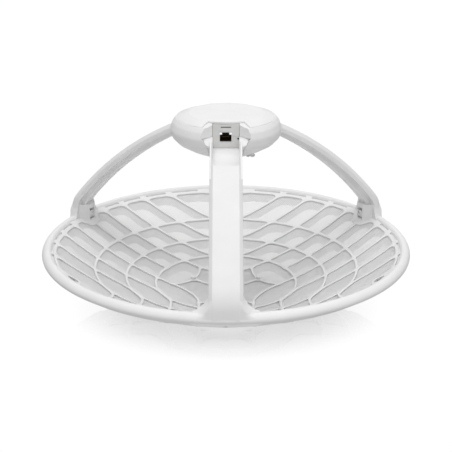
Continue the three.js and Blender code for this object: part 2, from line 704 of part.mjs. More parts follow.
function buildPort() {
  const front = PORT_PLATE_Y;
  const back = front + PORT_PLATE_THICKNESS;
  const before = front - OVERRUN;
  const behind = back + OVERRUN;
  const windowLow = 214.7;
  let plate = box(-BAY_HALF_WIDTH, BAY_HALF_WIDTH, front, back, ...PORT_PLATE_HEIGHTS);
  plate = plate.subtract(jackOpening(before, behind));
  plate = plate.subtract(portLight(-1, before, behind, GAP));
  plate = plate.subtract(portLight(1, before, behind, GAP));
  plate = plate.subtract(rod(BUTTON_HOLE_RADIUS, BUTTON_X, BUTTON_Z, before, behind));
  plate = plate.subtract(box(-5.5, 5.5, before, behind, windowLow, windowLow + 1.2));
  addPiece('port_plate', plate, 'port');
  const window = box(-5.2, 5.2, front + 0.4, back - 0.2, windowLow + GAP, windowLow + 0.9);
  addPiece('status_window', window, 'black');
  addPiece('jack_light_left', portLight(-1, front + 0.2, back - 0.1, 0), 'clear');
  addPiece('jack_light_right', portLight(1, front + 0.2, back - 0.1, 0), 'clear');

  const jackFront = back + GAP;
  const shellHalf = 8;
  const shellBack = jackFront + 18;
  const shell = box(JACK_X - shellHalf, JACK_X + shellHalf, jackFront, shellBack, BOARD_TOP + GAP, 212.7);
  addPiece('ethernet_jack', shell.subtract(jackOpening(jackFront - 1, jackFront + JACK_DEPTH)), 'black');
  const fingerLow = JACK_Z[0] + 0.7;
  const contacts = [
    box(JACK_X - 4.4, JACK_X + 4.4, jackFront + 13, jackFront + 14.6, fingerLow - GAP, fingerLow + 2.3),
  ];
  for (let i = 0; i < 8; i += 1) {
    const x = JACK_X + (i - 3.5) * CONTACT_PITCH;
    contacts.push(box(x - 0.2, x + 0.2, jackFront + 4, jackFront + 13.2, fingerLow, fingerLow + 0.5));
  }
  addPiece('jack_contacts', join(contacts), 'gold');

  const buttonFront = back + 0.4;
  const buttonBack = buttonFront + 3;
  addPiece('reset_button', rod(BUTTON_RADIUS, BUTTON_X, BUTTON_Z, buttonFront, buttonBack), 'black');
  const switchFront = buttonBack + BUTTON_TRAVEL + GAP;
  const housing = box(BUTTON_X - 3, BUTTON_X + 3, switchFront, switchFront + 3.4, BOARD_TOP + GAP, 206);
  addPiece('reset_switch', housing, 'black');
}

function buildInsides() {
  const boardBottom = BOARD_TOP - 1.6;
  const boardFront = PORT_PLATE_Y + PORT_PLATE_THICKNESS + 0.6;
  const board = box(-BOARD_HALF_WIDTH, BOARD_HALF_WIDTH, boardFront, 35, boardBottom, BOARD_TOP);
  addPiece('main_board', board, 'board');
  const shieldTop = BOARD_TOP + SHIELD_HEIGHT;
  addPiece('rf_shield', box(-20, 20, -12, 20, BOARD_TOP + GAP, shieldTop), 'steel');
  const spreaderDisc = post(37, 0, 0, 214.6, 216.6, 36);
  addPiece('heat_spreader', spreaderDisc.add(box(-15, 15, -9, 16, shieldTop + GAP, 215)), 'steel');
  const hornTop = boardBottom - GAP;
  const horn = lathe([
    [HORN_BORE + HORN_WALL, hornTop],
    [HORN_BORE + HORN_WALL, 186],
    [15, 178.6],
    [15 - HORN_WALL, 178.6],
    [HORN_BORE, 185.5],
    [HORN_BORE, hornTop - 1.5],
    [0, hornTop - 1.5],
    [0, hornTop],
  ], 24);
  addPiece('feed_horn', horn, 'steel');
  const dome = [
    [0, 172.6],
    [14, 173],
    [20.6, 175.6],
    [20.6, 178],
    [16, 178],
    [14, 175.4],
    [0, 175],
  ];
  addPiece('feed_window', lathe(dome, 24), 'clear');
  const seal = lathe([[48.6, 213.8], [50.2, 213.8], [50.2, BODY_TOP], [48.6, BODY_TOP]], 32);
  addPiece('head_seal', seal.subtract(box(-32, 32, -80, -20, 200, 220)), 'rubber');
  const stem = post(4, VENT_X, VENT_Y, 177.5, 186, 16);
  const vent = stem.add(post(5.4, VENT_X, VENT_Y, 176.8, 178.4, 16));
  addPiece('pressure_vent', vent.subtract(box(VENT_X - 0.6, VENT_X + 0.6, -40, 0, 176, 177.6)), 'shell');
}

buildFrontFrame();
buildFrontGrid();
buildMesh();
buildRearFrame();
buildMount();
buildArms();
buildHead();
buildPort();
buildInsides();

export default part;
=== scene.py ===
"""Looks of the outdoor wireless bridge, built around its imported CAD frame.

Shapes are made in millimetres in the frame's own axes (+Z up along the dish axis, the front arm towards -Y)
and turned into metres when their mesh is made.
"""

import math

import bmesh
import bpy
import numpy as np
from mathutils import Matrix, Vector
from mathutils.geometry import delaunay_2d_cdt


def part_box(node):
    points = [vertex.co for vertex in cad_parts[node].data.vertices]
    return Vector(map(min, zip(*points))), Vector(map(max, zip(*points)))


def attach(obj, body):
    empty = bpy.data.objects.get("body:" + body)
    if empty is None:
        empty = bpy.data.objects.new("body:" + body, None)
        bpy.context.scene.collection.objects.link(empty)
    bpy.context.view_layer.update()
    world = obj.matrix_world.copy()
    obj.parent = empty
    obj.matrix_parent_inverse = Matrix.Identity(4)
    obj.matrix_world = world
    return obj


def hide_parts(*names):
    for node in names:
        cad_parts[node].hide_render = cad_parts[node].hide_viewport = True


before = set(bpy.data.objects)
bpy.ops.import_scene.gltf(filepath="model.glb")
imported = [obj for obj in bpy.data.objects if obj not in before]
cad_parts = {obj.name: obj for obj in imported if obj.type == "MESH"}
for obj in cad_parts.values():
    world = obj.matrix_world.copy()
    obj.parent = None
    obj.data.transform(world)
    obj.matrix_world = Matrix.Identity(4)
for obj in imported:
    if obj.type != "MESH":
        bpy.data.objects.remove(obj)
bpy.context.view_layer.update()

MM = 0.001
GAP = 0.3  # clearance between neighbouring pieces
FIT = 0.05  # and where two pieces seem to touch
CLOSE = 2e-6  # metres, below which two corners left by a cut are one
POST_TURN = 0.037  # radians, so that no corner of a round cutter falls on an edge of what it cuts


def low(node):
    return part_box(node)[0] / MM


def high(node):
    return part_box(node)[1] / MM


def middle(node):
    return (low(node) + high(node)) / 2


# ---------- driving dimensions ----------
ARMS = {"front": 270, "back_left": 150, "back_right": 30}  # azimuths in degrees
BISECTORS = (90, 210, 330)  # midway between two arms
DISH_RADIUS = high("front_frame").x
RIM_TOP = high("front_frame").z
FOCAL_LENGTH = 169
VERTEX_Z = 18
SHEET_RADIUS = high("reflector_mesh").x
FLANGE_INNER = 184.5
PLATE_OUTER = 191.6  # outer edge of the front ribs, under the bead
FRONT_RIB_WIDTH = 2.8
FRONT_RIB_HEIGHT = 1.2
REAR_RIB_WIDTH = 2.6
REAR_RIB_DEPTH = 9.0
SHEET_THICKNESS = 0.35
SKIRT_BOTTOM = 66.3
LIP_BOTTOM = low("front_frame").z + 0.6
RING_RADII = (77.5, 109.8, 143.5)
LINE_OFFSETS = (29, 58, 87, 116)
LINE_FILLET = 60
CORNER_LINE = (150, 15)  # offset and fillet of the short rib that cuts off each open slot
NODE_RADIUS = 42.5
NODE_ARC = (94, 51.5, 0.6)  # centre distance, radius and half angle of the arc through a node

PAD_TIP = (174.5, 7.5)  # radius and half width of the pad's inner end
PAD_SLANT = math.radians(42)
PAD_HALF = 23.5
SLOT_MIDDLE = 188.4  # the row of short arc slots just inside the rim's bead
SLOT_HALF = 1.1
SLOT_BREAK = 1.5  # degrees left solid on each side of a rib's end
SLOT_END = 49.0  # degrees from an arm where the row stops, before the open slot

HUB_RADIUS = high("rear_hub").x
PLATE_THICKNESS = high("mount_plate").z
PLATE_RADIUS = high("mount_plate").x
MOUNT_CIRCLE = 30
MOUNT_HOLE = 3.2
MOUNT_AZIMUTHS = (0, 90, 180, 270)
PLATE_SCREW_CIRCLE = 36
PLATE_SCREW_AZIMUTHS = (45, 135, 225, 315)

ARM_HALF = 16.6
ARM_PANEL_HALF = 13.0
ARM_SHELL_DEPTH = 8.9
ARM_TOTAL_DEPTH = 13.3
SPINE_HALF = 6.9
ARM_TOP = (56, 205.7)
ARM_BEND = (190.9, 102)
ARM_ARC = 402
FOOT_OUTER = -low("arm_front").y
FOOT_INNER = 180
FOOT_BEND_END = 80
FOOT_BEND_RADIUS = 35
FOOT_TOP = 88
FOOT_INNER_HALF = 5.8
LATCH_BOTTOM = low("foot_latch_front").z
LATCH_TOP = high("foot_latch_front").z
LATCH_BACK = -low("foot_latch_front").y
LATCH_HALF = 3.6
POCKET_BACK = FOOT_INNER + 7.2  # room behind a latch that is pressed in
POCKET_HALF = 4.2
POCKET_HEIGHTS = (69.4, 82.6)

HEAD_RADIUS = high("head_body").x
HEAD_SCREW_CIRCLE = 43
BODY_TOP = high("head_body").z
CAP_TOP = high("head_cap").z
CAP_EDGE = 53
CAP_DISC = 40
PORT_Y = low("port_plate").y
BAY_HALF = high("port_plate").x - 0.8
BAY_FLOOR = 193.2
BAY_END = 88
BAY_DEPTH = 8
CHEEK_TOP = 205.9
JACK_X = middle("ethernet_jack").x
JACK_Z = (199.8, 209.8)
JACK_HALF = 6
JACK_STEP_HALF = 3.6
JACK_STEP = 2.4
BUTTON = (middle("reset_button").x, middle("reset_button").z)

SIDE_LIGHT = 0.35
TOP_LIGHT = 1.0
FLOOR_BOUNCE = 0.42
FLOOR_MIRROR = 0.42
SOFTBOXES = (  # name, place, aim, size and power, in metres and watts
    ("key", (-0.35, -0.1, 2.1), (0, 0, 0.12), (1.4, 1.4), 14.5),
    ("front", (0, -1.0, 0.12), (0, 0, 0.08), (0.6, 0.24), 1.6),
    ("fill", (1.2, -0.6, 1.5), (0, 0, 0.12), (1.2, 1.2), 6),
)
WHITE = 1.02  # strength of what the camera sees behind the object
CAMERA_LENS = 96.46
CAMERA_ELEVATION = 20.217  # degrees
CAMERA_DISTANCE = 1.3216
CAMERA_TARGET = (0, 0, 0.09271)


# ---------- meshes ----------
def add_mesh(points, faces):
    """A mesh object from points in millimetres, with its faces turned outwards."""
    mesh = bpy.data.meshes.new("shape")
    mesh.from_pydata([tuple(c * MM for c in p) for p in points], [], faces)
    built = bmesh.new()
    built.from_mesh(mesh)
    bmesh.ops.recalc_face_normals(built, faces=built.faces)
    built.to_mesh(mesh)
    built.free()
    obj = bpy.data.objects.new("shape", mesh)
    bpy.context.scene.collection.objects.link(obj)
    return obj


def apply_modifiers(obj):
    evaluated = obj.evaluated_get(bpy.context.evaluated_depsgraph_get())
    mesh = bpy.data.meshes.new_from_object(evaluated)
    obj.modifiers.clear()
    obj.data = mesh
    return obj


def close_up(mesh, near, thin):
    """Merges corners nearer than `near` and takes out edges shorter than `thin`, in metres."""
    built = bmesh.new()
    built.from_mesh(mesh)
    bmesh.ops.remove_doubles(built, verts=built.verts, dist=near)
    bmesh.ops.dissolve_degenerate(built, edges=built.edges, dist=thin)
    built.to_mesh(mesh)
    built.free()


def combine(obj, others, operation):
    """Joins to obj, cuts from it or keeps only what it shares with each of the others."""
    for other in others if isinstance(others, (list, tuple)) else [others]:
        step = obj.modifiers.new("combine", "BOOLEAN")
        step.operation = operation
        step.solver = "EXACT"
        step.object = other
        apply_modifiers(obj)
        bpy.data.objects.remove(other)
        close_up(obj.data, CLOSE, CLOSE)
    return obj


def join(obj, others):
    return combine(obj, others, "UNION")


def cut(obj, others):
    return combine(obj, others, "DIFFERENCE")


def keep(obj, others):
    return combine(obj, others, "INTERSECT")


def turn(obj, azimuth):
    obj.data.transform(Matrix.Rotation(math.radians(azimuth), 4, "Z"))
    return obj


def shift(obj, x, y):
    obj.data.transform(Matrix.Translation(Vector((x, y, 0)) * MM))
    return obj


def bevel(obj, width, segments=2, angle=40):
    step = obj.modifiers.new("bevel", "BEVEL")
    step.width = width * MM
    step.segments = segments
    step.limit_method = "ANGLE"
    step.angle_limit = math.radians(angle)
    return apply_modifiers(obj)


def finish_mesh(obj, name, angle=35):
    """Cleans the mesh, shades it smooth up to `angle` and gives the object its final name."""
    close_up(obj.data, 0.002 * MM, 0.001 * MM)
    obj.data.shade_smooth()
    obj.data.set_sharp_from_angle(angle=math.radians(angle))
    obj.name = name
    obj.data.name = name
    return obj


# ---------- outlines ----------
def polar(radius, azimuth):
    angle = math.radians(azimuth)
    return radius * math.cos(angle), radius * math.sin(angle)


def rounded(outline, default=0.0, steps=5):
    """A closed outline with its corners rounded. A point is (x, y) or (x, y, its own radius)."""
    result = []
    count = len(outline)
    for i, corner in enumerate(outline):
        here = Vector(corner[:2])
        radius = corner[2] if len(corner) > 2 else default
        before = Vector(outline[i - 1][:2]) - here
        after = Vector(outline[(i + 1) % count][:2]) - here
        turn_angle = before.angle(after, 0.0)
        if radius <= 0 or turn_angle < 0.01 or turn_angle > math.pi - 0.01:
            result.append(tuple(here))
            continue
        reach = min(radius / math.tan(turn_angle / 2), 0.49 * before.length, 0.49 * after.length)
        radius = reach * math.tan(turn_angle / 2)
        centre = here + (before.normalized() + after.normalized()).normalized() * (
            radius / math.sin(turn_angle / 2)
        )
        start = here + before.normalized() * reach - centre
        end = here + after.normalized() * reach - centre
        sweep = start.angle_signed(end)
        for k in range(steps + 1):
            result.append(tuple(centre + Matrix.Rotation(-sweep * k / steps, 2) @ start))
    return result


def mirrored(half):
    """A closed outline from its right half, listed from top to bottom."""
    return list(half) + [(-p[0], *p[1:]) for p in reversed(half)]


def revolve(profile, segments=192):
    """Solid of revolution about Z from a closed outline of (radius, height)."""
    points, rings = [], []
    for radius, height in profile:
        if radius < 1e-6:
            rings.append([len(points)])
            points.append((0, 0, height))
            continue
        rings.append(list(range(len(points), len(points) + segments)))
        for k in range(segments):
            angle = 2 * math.pi * k / segments
            points.append((radius * math.cos(angle), radius * math.sin(angle), height))
    faces = []
    for a, b in zip(rings, rings[1:] + rings[:1]):
        if len(a) == 1 and len(b) == 1:
            continue
        for k in range(segments):
            n = (k + 1) % segments
            if len(a) == 1:
                faces.append((a[0], b[n], b[k]))
            elif len(b) == 1:
                faces.append((a[k], a[n], b[0]))
            else:
                faces.append((a[k], a[n], b[n], b[k]))
    return add_mesh(points, faces)


def extrude(outline, start, end, place):
    """Prism of an outline (u, v) between two values of w; place(u, v, w) gives the point."""
    count = len(outline)
    points = [place(u, v, start) for u, v in outline] + [place(u, v, end) for u, v in outline]
    faces = [(k, (k + 1) % count, count + (k + 1) % count, count + k) for k in range(count)]
    faces += [tuple(range(count)), tuple(range(2 * count - 1, count - 1, -1))]
    return add_mesh(points, faces)


def upright(outline, bottom, top):
    return extrude(outline, bottom, top, lambda u, v, w: (u, v, w))


def sideways(outline, half_width):
    """Prism of a side outline (distance from the axis, height), centred on the +X azimuth."""
    return extrude(outline, -half_width, half_width, lambda u, v, w: (u, w, v))


def forwards(outline, near, far):
    """Prism of a front outline (x, height), from `near` to `far` in front of the axis."""
    return extrude(outline, near, far, lambda u, v, w: (u, -w, v))


def block(x, y, z, radius=0.0, steps=3):
    """Box with its upright edges rounded; x, y and z are (low, high) pairs."""
    outline = rounded([(x[0], y[0]), (x[1], y[0]), (x[1], y[1]), (x[0], y[1])], radius, steps)
    return upright(outline, z[0], z[1])


def front_block(x, y, z, radius=0.0, steps=4):
    """Box with the edges along Y rounded; x, y and z are (low, high) pairs."""
    outline = rounded([(x[0], z[0]), (x[1], z[0]), (x[1], z[1]), (x[0], z[1])], radius, steps)
    return forwards(outline, -y[1], -y[0])


def post(radius, x, y, bottom, top, segments=32):
    angles = [POST_TURN + 2 * math.pi * k / segments for k in range(segments)]
    circle = [(x + radius * math.cos(a), y + radius * math.sin(a)) for a in angles]
    return upright(circle, bottom, top)


def rod(radius, x, z, near, far, segments=24):
    circle = [
        (x + radius * math.cos(2 * math.pi * k / segments), z + radius * math.sin(2 * math.pi * k / segments))
        for k in range(segments)
    ]
    return forwards(circle, near, far)


# ---------- the reflector's ribs, worked out in plan ----------
def sheet_top(radius):
    return VERTEX_Z + radius * radius / (4 * FOCAL_LENGTH)


def smooth_least(a, b, softness):
    """The lesser of two distances, eased where they are nearly equal, which rounds inner corners."""
    mix = np.maximum(softness - np.abs(a - b), 0) / softness
    return np.minimum(a, b) - mix * mix * softness / 4


def seen_from(x, y, azimuth):
    angle = math.radians(azimuth)
    return x * math.cos(angle) + y * math.sin(angle), y * math.cos(angle) - x * math.sin(angle)


def seen_from_arms(x, y):
    return [seen_from(x, y, azimuth) for azimuth in ARMS.values()]


def corner_distance(x, y, offset, fillet):
    """Distance to the line that runs in beside one arm, rounds the corner and runs out beside the next."""
    side = np.abs(y)
    corner = offset / math.cos(math.pi / 6)
    centre = corner + fillet / math.cos(math.pi / 6)
    straight = np.abs((x - corner) * math.sqrt(3) / 2 - side / 2)
    round_part = np.abs(np.hypot(x - centre, side) - fillet)
    in_arc = (x < centre) & (side <= (centre - x) * math.tan(math.pi / 6))
    return np.where(in_arc, round_part, straight)


def along_distance(x, y, start, end):
    return np.hypot(np.maximum(np.maximum(start - x, x - end), 0), y)


def rib_edge(x, y, width, softness, rim_softness, ring_inner, ring_outer, collar=0.0, slots=False):
    """Signed distance from the edge of the ribbed area, below zero on a rib."""
    radius = np.hypot(x, y)
    field = np.full_like(x, 1e3)
    for ring in RING_RADII:
        field = smooth_least(field, np.abs(radius - ring) - width / 2, softness)
    for azimuth in BISECTORS:
        u, v = seen_from(x, y, azimuth)
        for offset, fillet in [*((o, LINE_FILLET) for o in LINE_OFFSETS), CORNER_LINE]:
            line = corner_distance(u, v, offset, fillet) - width / 2
            line = np.where(u > 0, line, 1e3)
            field = smooth_least(field, line, softness)
    for u, v in seen_from_arms(x, y):
        spokes = np.minimum(
            along_distance(u, v, 0, NODE_RADIUS), along_distance(u, v, RING_RADII[0], DISH_RADIUS)
        )
        field = smooth_least(field, spokes - width / 2, softness)
        centre, arc_radius, half_angle = NODE_ARC
        angle = np.arctan2(np.abs(v), centre - u)
        end = (centre - arc_radius * math.cos(half_angle), arc_radius * math.sin(half_angle))
        arc = np.where(
            angle < half_angle,
            np.abs(np.hypot(u - centre, v) - arc_radius),
            np.hypot(u - end[0], np.abs(v) - end[1]),
        )
        field = smooth_least(field, arc - width / 2, softness)
        if collar:
            field = smooth_least(field, np.hypot(u - NODE_RADIUS, v) - collar, softness)
    field = smooth_least(field, ring_inner - radius, rim_softness)
    if slots:
        for u, v in seen_from_arms(x, y):
            field = smooth_least(field, pad_edge(u, np.abs(v)), 2.0)
        field = np.maximum(field, -slot_edge(x, y))
    return np.maximum(field, radius - ring_outer)


def pad_edge(along, side):
    """Distance to the pad under a foot: a wedge that widens towards the rim."""
    slant = (side - PAD_TIP[1]) * math.cos(PAD_SLANT) - (along - PAD_TIP[0]) * math.sin(PAD_SLANT)
    return np.maximum(np.maximum(slant, PAD_TIP[0] - along), side - PAD_HALF)


def slot_edge(x, y):
    """Signed distance from the nearest arc slot's edge, below zero inside a slot."""
    radius = np.hypot(x, y)
    ends = [math.degrees(math.asin(offset / SLOT_MIDDLE)) for offset in LINE_OFFSETS]
    nearest = np.full_like(x, 1e3)
    for u, v in seen_from_arms(x, y):
        angle = np.degrees(np.arctan2(np.abs(v), u))
        for start, stop in zip(ends, [*ends[1:], SLOT_END + SLOT_BREAK]):
            beyond = np.maximum(np.maximum(start + SLOT_BREAK - angle, angle - stop + SLOT_BREAK), 0)
            gap = np.hypot(np.radians(beyond) * radius, radius - SLOT_MIDDLE)
            nearest = np.minimum(nearest, gap)
    return nearest - SLOT_HALF


def contour(field, reach, step):
    """Closed loops of points where field(x, y) crosses zero, by marching squares on a regular grid."""
    count = int(round(2 * reach / step)) + 1
    axis = np.linspace(-reach, reach, count) + 0.0137
    grid_x, grid_y = np.meshgrid(axis, axis, indexing="ij")
    value = field(grid_x, grid_y)
    inside = value < 0
    code = (
        inside[:-1, :-1] * 1 + inside[1:, :-1] * 2 + inside[1:, 1:] * 4 + inside[:-1, 1:] * 8
    )
    pairs = {
        1: [(3, 0)], 2: [(0, 1)], 3: [(3, 1)], 4: [(1, 2)], 5: [(3, 0), (1, 2)], 6: [(0, 2)], 7: [(3, 2)],
        8: [(2, 3)], 9: [(2, 0)], 10: [(0, 1), (2, 3)], 11: [(2, 1)], 12: [(1, 3)], 13: [(1, 0)], 14: [(0, 3)],
    }

    def crossing(i, j, side):
        """Key and place of the crossing on one side of a grid cell."""
        a, b = {0: ((i, j), (i + 1, j)), 1: ((i + 1, j), (i + 1, j + 1)),
                2: ((i, j + 1), (i + 1, j + 1)), 3: ((i, j), (i, j + 1))}[side]
        share = value[a] / (value[a] - value[b])
        place = (
            axis[a[0]] + share * (axis[b[0]] - axis[a[0]]),
            axis[a[1]] + share * (axis[b[1]] - axis[a[1]]),
        )
        return (a, b), place

    following, places = {}, {}
    for i, j in zip(*np.nonzero((code > 0) & (code < 15))):
        for first, second in pairs[int(code[i, j])]:
            key_a, place_a = crossing(i, j, first)
            key_b, place_b = crossing(i, j, second)
            following.setdefault(key_a, []).append(key_b)
            following.setdefault(key_b, []).append(key_a)
            places[key_a] = place_a
            places[key_b] = place_b
    loops, used = [], set()
    for start in following:
        if start in used:
            continue
        loop, here, before = [], start, None
        while here is not None and here not in used:
            used.add(here)
            loop.append(places[here])
            ahead = [k for k in following[here] if k != before and k not in used]
            before, here = here, (ahead[0] if ahead else None)
        if len(loop) > 8:
            loops.append(np.array(loop))
    return loops


def evenly(loop, spacing):
    """The closed loop with its points spaced evenly."""
    closed = np.vstack([loop, loop[:1]])
    length = np.concatenate([[0], np.cumsum(np.hypot(*np.diff(closed, axis=0).T))])
    count = max(12, int(round(length[-1] / spacing)))
    at = np.linspace(0, length[-1], count, endpoint=False)
    return np.column_stack([np.interp(at, length, closed[:, k]) for k in (0, 1)])


def pushed_to(field, points, level, rounds=4):
    """The points moved along the field's slope until the field has that value there."""
    points = points.copy()
    reach = 0.02
    for _ in range(rounds):
        x, y = points.T
        value = field(x, y) - level
        slope = np.column_stack([
            (field(x + reach, y) - field(x - reach, y)) / (2 * reach),
            (field(x, y + reach) - field(x, y - reach)) / (2 * reach),
        ])
        steep = np.maximum((slope ** 2).sum(1), 0.25)
        points -= np.clip(value / steep, -0.6, 0.6)[:, None] * slope
    return points


def filled(points, edges, field):
    """Triangles between the closed edges, in the regions where the field is below zero."""
    flat = delaunay_2d_cdt([Vector(p) for p in points], edges, [], 0, 1e-6)
    source = [ids[0] for ids in flat[3]]
    triangles = [tuple(source[v] for v in face) for face in flat[2]]
    walls = {frozenset(edge) for edge in edges}
    owners = {}
    for number, triangle in enumerate(triangles):
        for k in range(3):
            owners.setdefault(frozenset((triangle[k], triangle[k - 1])), []).append(number)
    region = [None] * len(triangles)
    kept_faces = []
    corners = points[np.array(triangles)]
    centres = corners.mean(1)
    sides = corners[:, 1:] - corners[:, :1]
    areas = np.abs(sides[:, 0, 0] * sides[:, 1, 1] - sides[:, 0, 1] * sides[:, 1, 0])
    values = field(centres[:, 0], centres[:, 1])
    for start in range(len(triangles)):
        if region[start] is not None:
            continue
        region[start] = start
        members, waiting = [], [start]
        while waiting:
            here = waiting.pop()
            members.append(here)
            for k in range(3):
                side = frozenset((triangles[here][k], triangles[here][k - 1]))
                if side in walls:
                    continue
                for other in owners[side]:
                    if region[other] is None:
                        region[other] = start
                        waiting.append(other)
        if (values[members] * areas[members]).sum() < 0:
            kept_faces += [triangles[number] for number in members]
    return kept_faces


def ribbed_plate(field, levels, spacing=1.5, reach=192, step=0.8):
    """Solid over the plan area where the field is below zero. levels are (field value, height above the sheet),
    from the first cap through the wall to the last cap, so rib edges can be rounded or drafted."""
    loops = [evenly(loop, spacing) for loop in contour(field, reach, step)]
    loops = [pushed_to(field, loop, 0.0) for loop in loops]
    starts = np.cumsum([0] + [len(loop) for loop in loops])
    base = np.vstack(loops)
    edges = [
        (int(s + k), int(s + (k + 1) % len(loop))) for s, loop in zip(starts, loops) for k in range(len(loop))
    ]
    layers = [pushed_to(field, base, level) if level else base for level, _ in levels]
    points = []
    for layer, (_, height) in zip(layers, levels):
        lift = sheet_top(np.hypot(*layer.T)) + height
        points += list(zip(layer[:, 0], layer[:, 1], lift))
    total = len(base)
    faces = []
    for k in range(len(levels) - 1):
        faces += [(k * total + a, k * total + b, (k + 1) * total + b, (k + 1) * total + a) for a, b in edges]
    for k in (0, len(levels) - 1):
        layer, level = layers[k], levels[k][0]
        faces += [tuple(k * total + c for c in face) for face in filled(layer, edges, field)]
    return add_mesh(points, faces)


# ---------- the front moulding: rim, ribs and skirt ----------
BEAD_OUTER = [
    (186.1, 69.9), (186.9, 70.4), (187.0, 69.2), (189.4, 70.6), (189.6, 72.4), (190.0, 73.6), (190.8, 74.8),
    (192.0, 75.6), (193.4, RIM_TOP), (194.9, 75.6), (196.5, 74.9), (197.9, 73.8), (199.0, 72.4), (199.75, 70.9),
    (DISH_RADIUS, 69.4), (199.6, 68.0), (198.9, 67.0), (197.9, SKIRT_BOTTOM),
]
BEAD_INNER = [
    (196.3, SKIRT_BOTTOM), (197.1, 67.6), (197.6, 69.4), (197.3, 70.9), (196.4, 72.3), (194.9, 73.4),
    (193.2, 73.8), (191.8, 73.0), (190.8, 70.0), (186.1, 68.45),
]


def skirt_lip():
    """The skirt's deeper piece under an arm foot, at azimuth 0: ramped ends, a nick and two small tabs."""
    outer, inner = 197.87, 196.35
    low_half, high_half = 30.5, 36.0
    bottom = [(-high_half, SKIRT_BOTTOM + 0.4), (-low_half, LIP_BOTTOM)]
    for centre in (-18.0, 18.0):
        bottom += [(centre - 0.7, LIP_BOTTOM), (centre - 0.6, LIP_BOTTOM - 0.6)]
        bottom += [(centre + 0.6, LIP_BOTTOM - 0.6), (centre + 0.7, LIP_BOTTOM)]
        if centre < 0:
            bottom += [(-2.2, LIP_BOTTOM), (0, LIP_BOTTOM + 1.2), (2.2, LIP_BOTTOM)]
    bottom += [(low_half, LIP_BOTTOM), (high_half, SKIRT_BOTTOM + 0.4)]
    along = np.array([p[0] for p in bottom])
    height = np.array([p[1] for p in bottom])
    stations = np.unique(np.concatenate([along, np.linspace(-high_half, high_half, 49)]))
    points = []
    for s in stations:
        angle = s / outer
        z = float(np.interp(s, along, height))
        for radius, level in ((outer, z), (outer, SKIRT_BOTTOM + 0.8), (inner, SKIRT_BOTTOM + 0.8), (inner, z)):
            points.append((radius * math.cos(angle), radius * math.sin(angle), level))
    faces = [(0, 1, 2, 3)]
    last = 4 * (len(stations) - 1)
    faces.append((last + 3, last + 2, last + 1, last))
    for k in range(len(stations) - 1):
        for side in range(4):
            a, b = 4 * k + side, 4 * k + (side + 1) % 4
            faces.append((a, b, b + 4, a + 4))
    return add_mesh(points, faces)


def build_front_moulding():
    def field(x, y):
        return rib_edge(x, y, FRONT_RIB_WIDTH, 4.0, 7.0, FLANGE_INNER, PLATE_OUTER, collar=3.6, slots=True)

    top = GAP + FRONT_RIB_HEIGHT
    levels = [(0.0, GAP), (0.0, top - 0.5), (-0.15, top - 0.15), (-0.5, top)]
    bead = revolve(BEAD_OUTER + BEAD_INNER, 256)
    for azimuth in ARMS.values():
        join(bead, turn(skirt_lip(), azimuth))
    moulding = join(ribbed_plate(field, levels), bead)
    for azimuth in ARMS.values():
        x, y = polar(NODE_RADIUS, azimuth)
        boss_top = high("grid_screw_1").z + 0.9
        boss = revolve(rounded([(0, 22.8), (3.2, 22.8), (2.9, boss_top, 0.5), (1.3, boss_top, 0.2),
                                (1.2, boss_top - 0.4), (0, boss_top - 0.4)]), 48)
        shift(boss, x, y)
        join(moulding, boss)
        cut(moulding, post(1.5, x, y, 15, boss_top - 0.7))
    return finish_mesh(moulding, "front_moulding", 32)


# ---------- the perforated sheet ----------
def build_sheet():
    lowered = 0.35
    radii = np.linspace(0, SHEET_RADIUS, 40)
    top = [(r, sheet_top(r) - lowered) for r in radii]
    bottom = [(r, z - SHEET_THICKNESS) for r, z in reversed(top)]
    sheet = revolve(top + bottom, 180)
    for azimuth in BISECTORS:
        slot = rounded([(175.8, 0, 12), (191, -26), (191, 26)])
        cut(sheet, turn(upright(slot, VERTEX_Z, RIM_TOP + 5), azimuth))
    for azimuth in ARMS.values():
        x, y = polar(NODE_RADIUS, azimuth)
        cut(sheet, post(1.6, x, y, VERTEX_Z - 5, VERTEX_Z + 10))
    return finish_mesh(sheet, "perforated_sheet", 30)


# ---------- the rear moulding ----------
def build_rear_moulding():
    wall_outer = FLANGE_INNER + 2.6
    top = -1.55
    bottom = top - REAR_RIB_DEPTH

    def field(x, y):
        return rib_edge(x, y, REAR_RIB_WIDTH, 7.0, 9.0, FLANGE_INNER, wall_outer, collar=4.0)

    levels = [
        (-0.5, bottom), (-0.25, bottom + 0.15), (-0.1, bottom + 0.5), (0.0, top - 1.0), (0.0, top),
    ]
    floor = PLATE_THICKNESS + GAP
    wall = 3.0
    inner = HUB_RADIUS - wall
    hub = revolve(rounded([
        (0, floor),
        (HUB_RADIUS, floor, 1.5),
        (HUB_RADIUS, sheet_top(HUB_RADIUS) + top - 0.1),
        (inner, sheet_top(inner) + top - 0.1),
        (inner, floor + wall, 2),
        (0, floor + wall),
    ]), 128)
    node_top = sheet_top(NODE_RADIUS - 4) + top - 0.3
    nodes = [polar(NODE_RADIUS, azimuth) for azimuth in ARMS.values()]
    screws = [polar(PLATE_SCREW_CIRCLE, azimuth) for azimuth in PLATE_SCREW_AZIMUTHS]
    join(hub, [post(4.2, x, y, floor + 1, node_top) for x, y in nodes])
    join(hub, [post(4.5, x, y, floor + 1, floor + 8) for x, y in screws])
    cut(hub, [post(2, x, y, floor - 5, floor + 7) for x, y in screws])
    moulding = join(ribbed_plate(field, levels), hub)
    cut(moulding, [post(1.5, x, y, floor + wall + 2, node_top + 9) for x, y in nodes])
    return finish_mesh(moulding, "rear_moulding", 32)


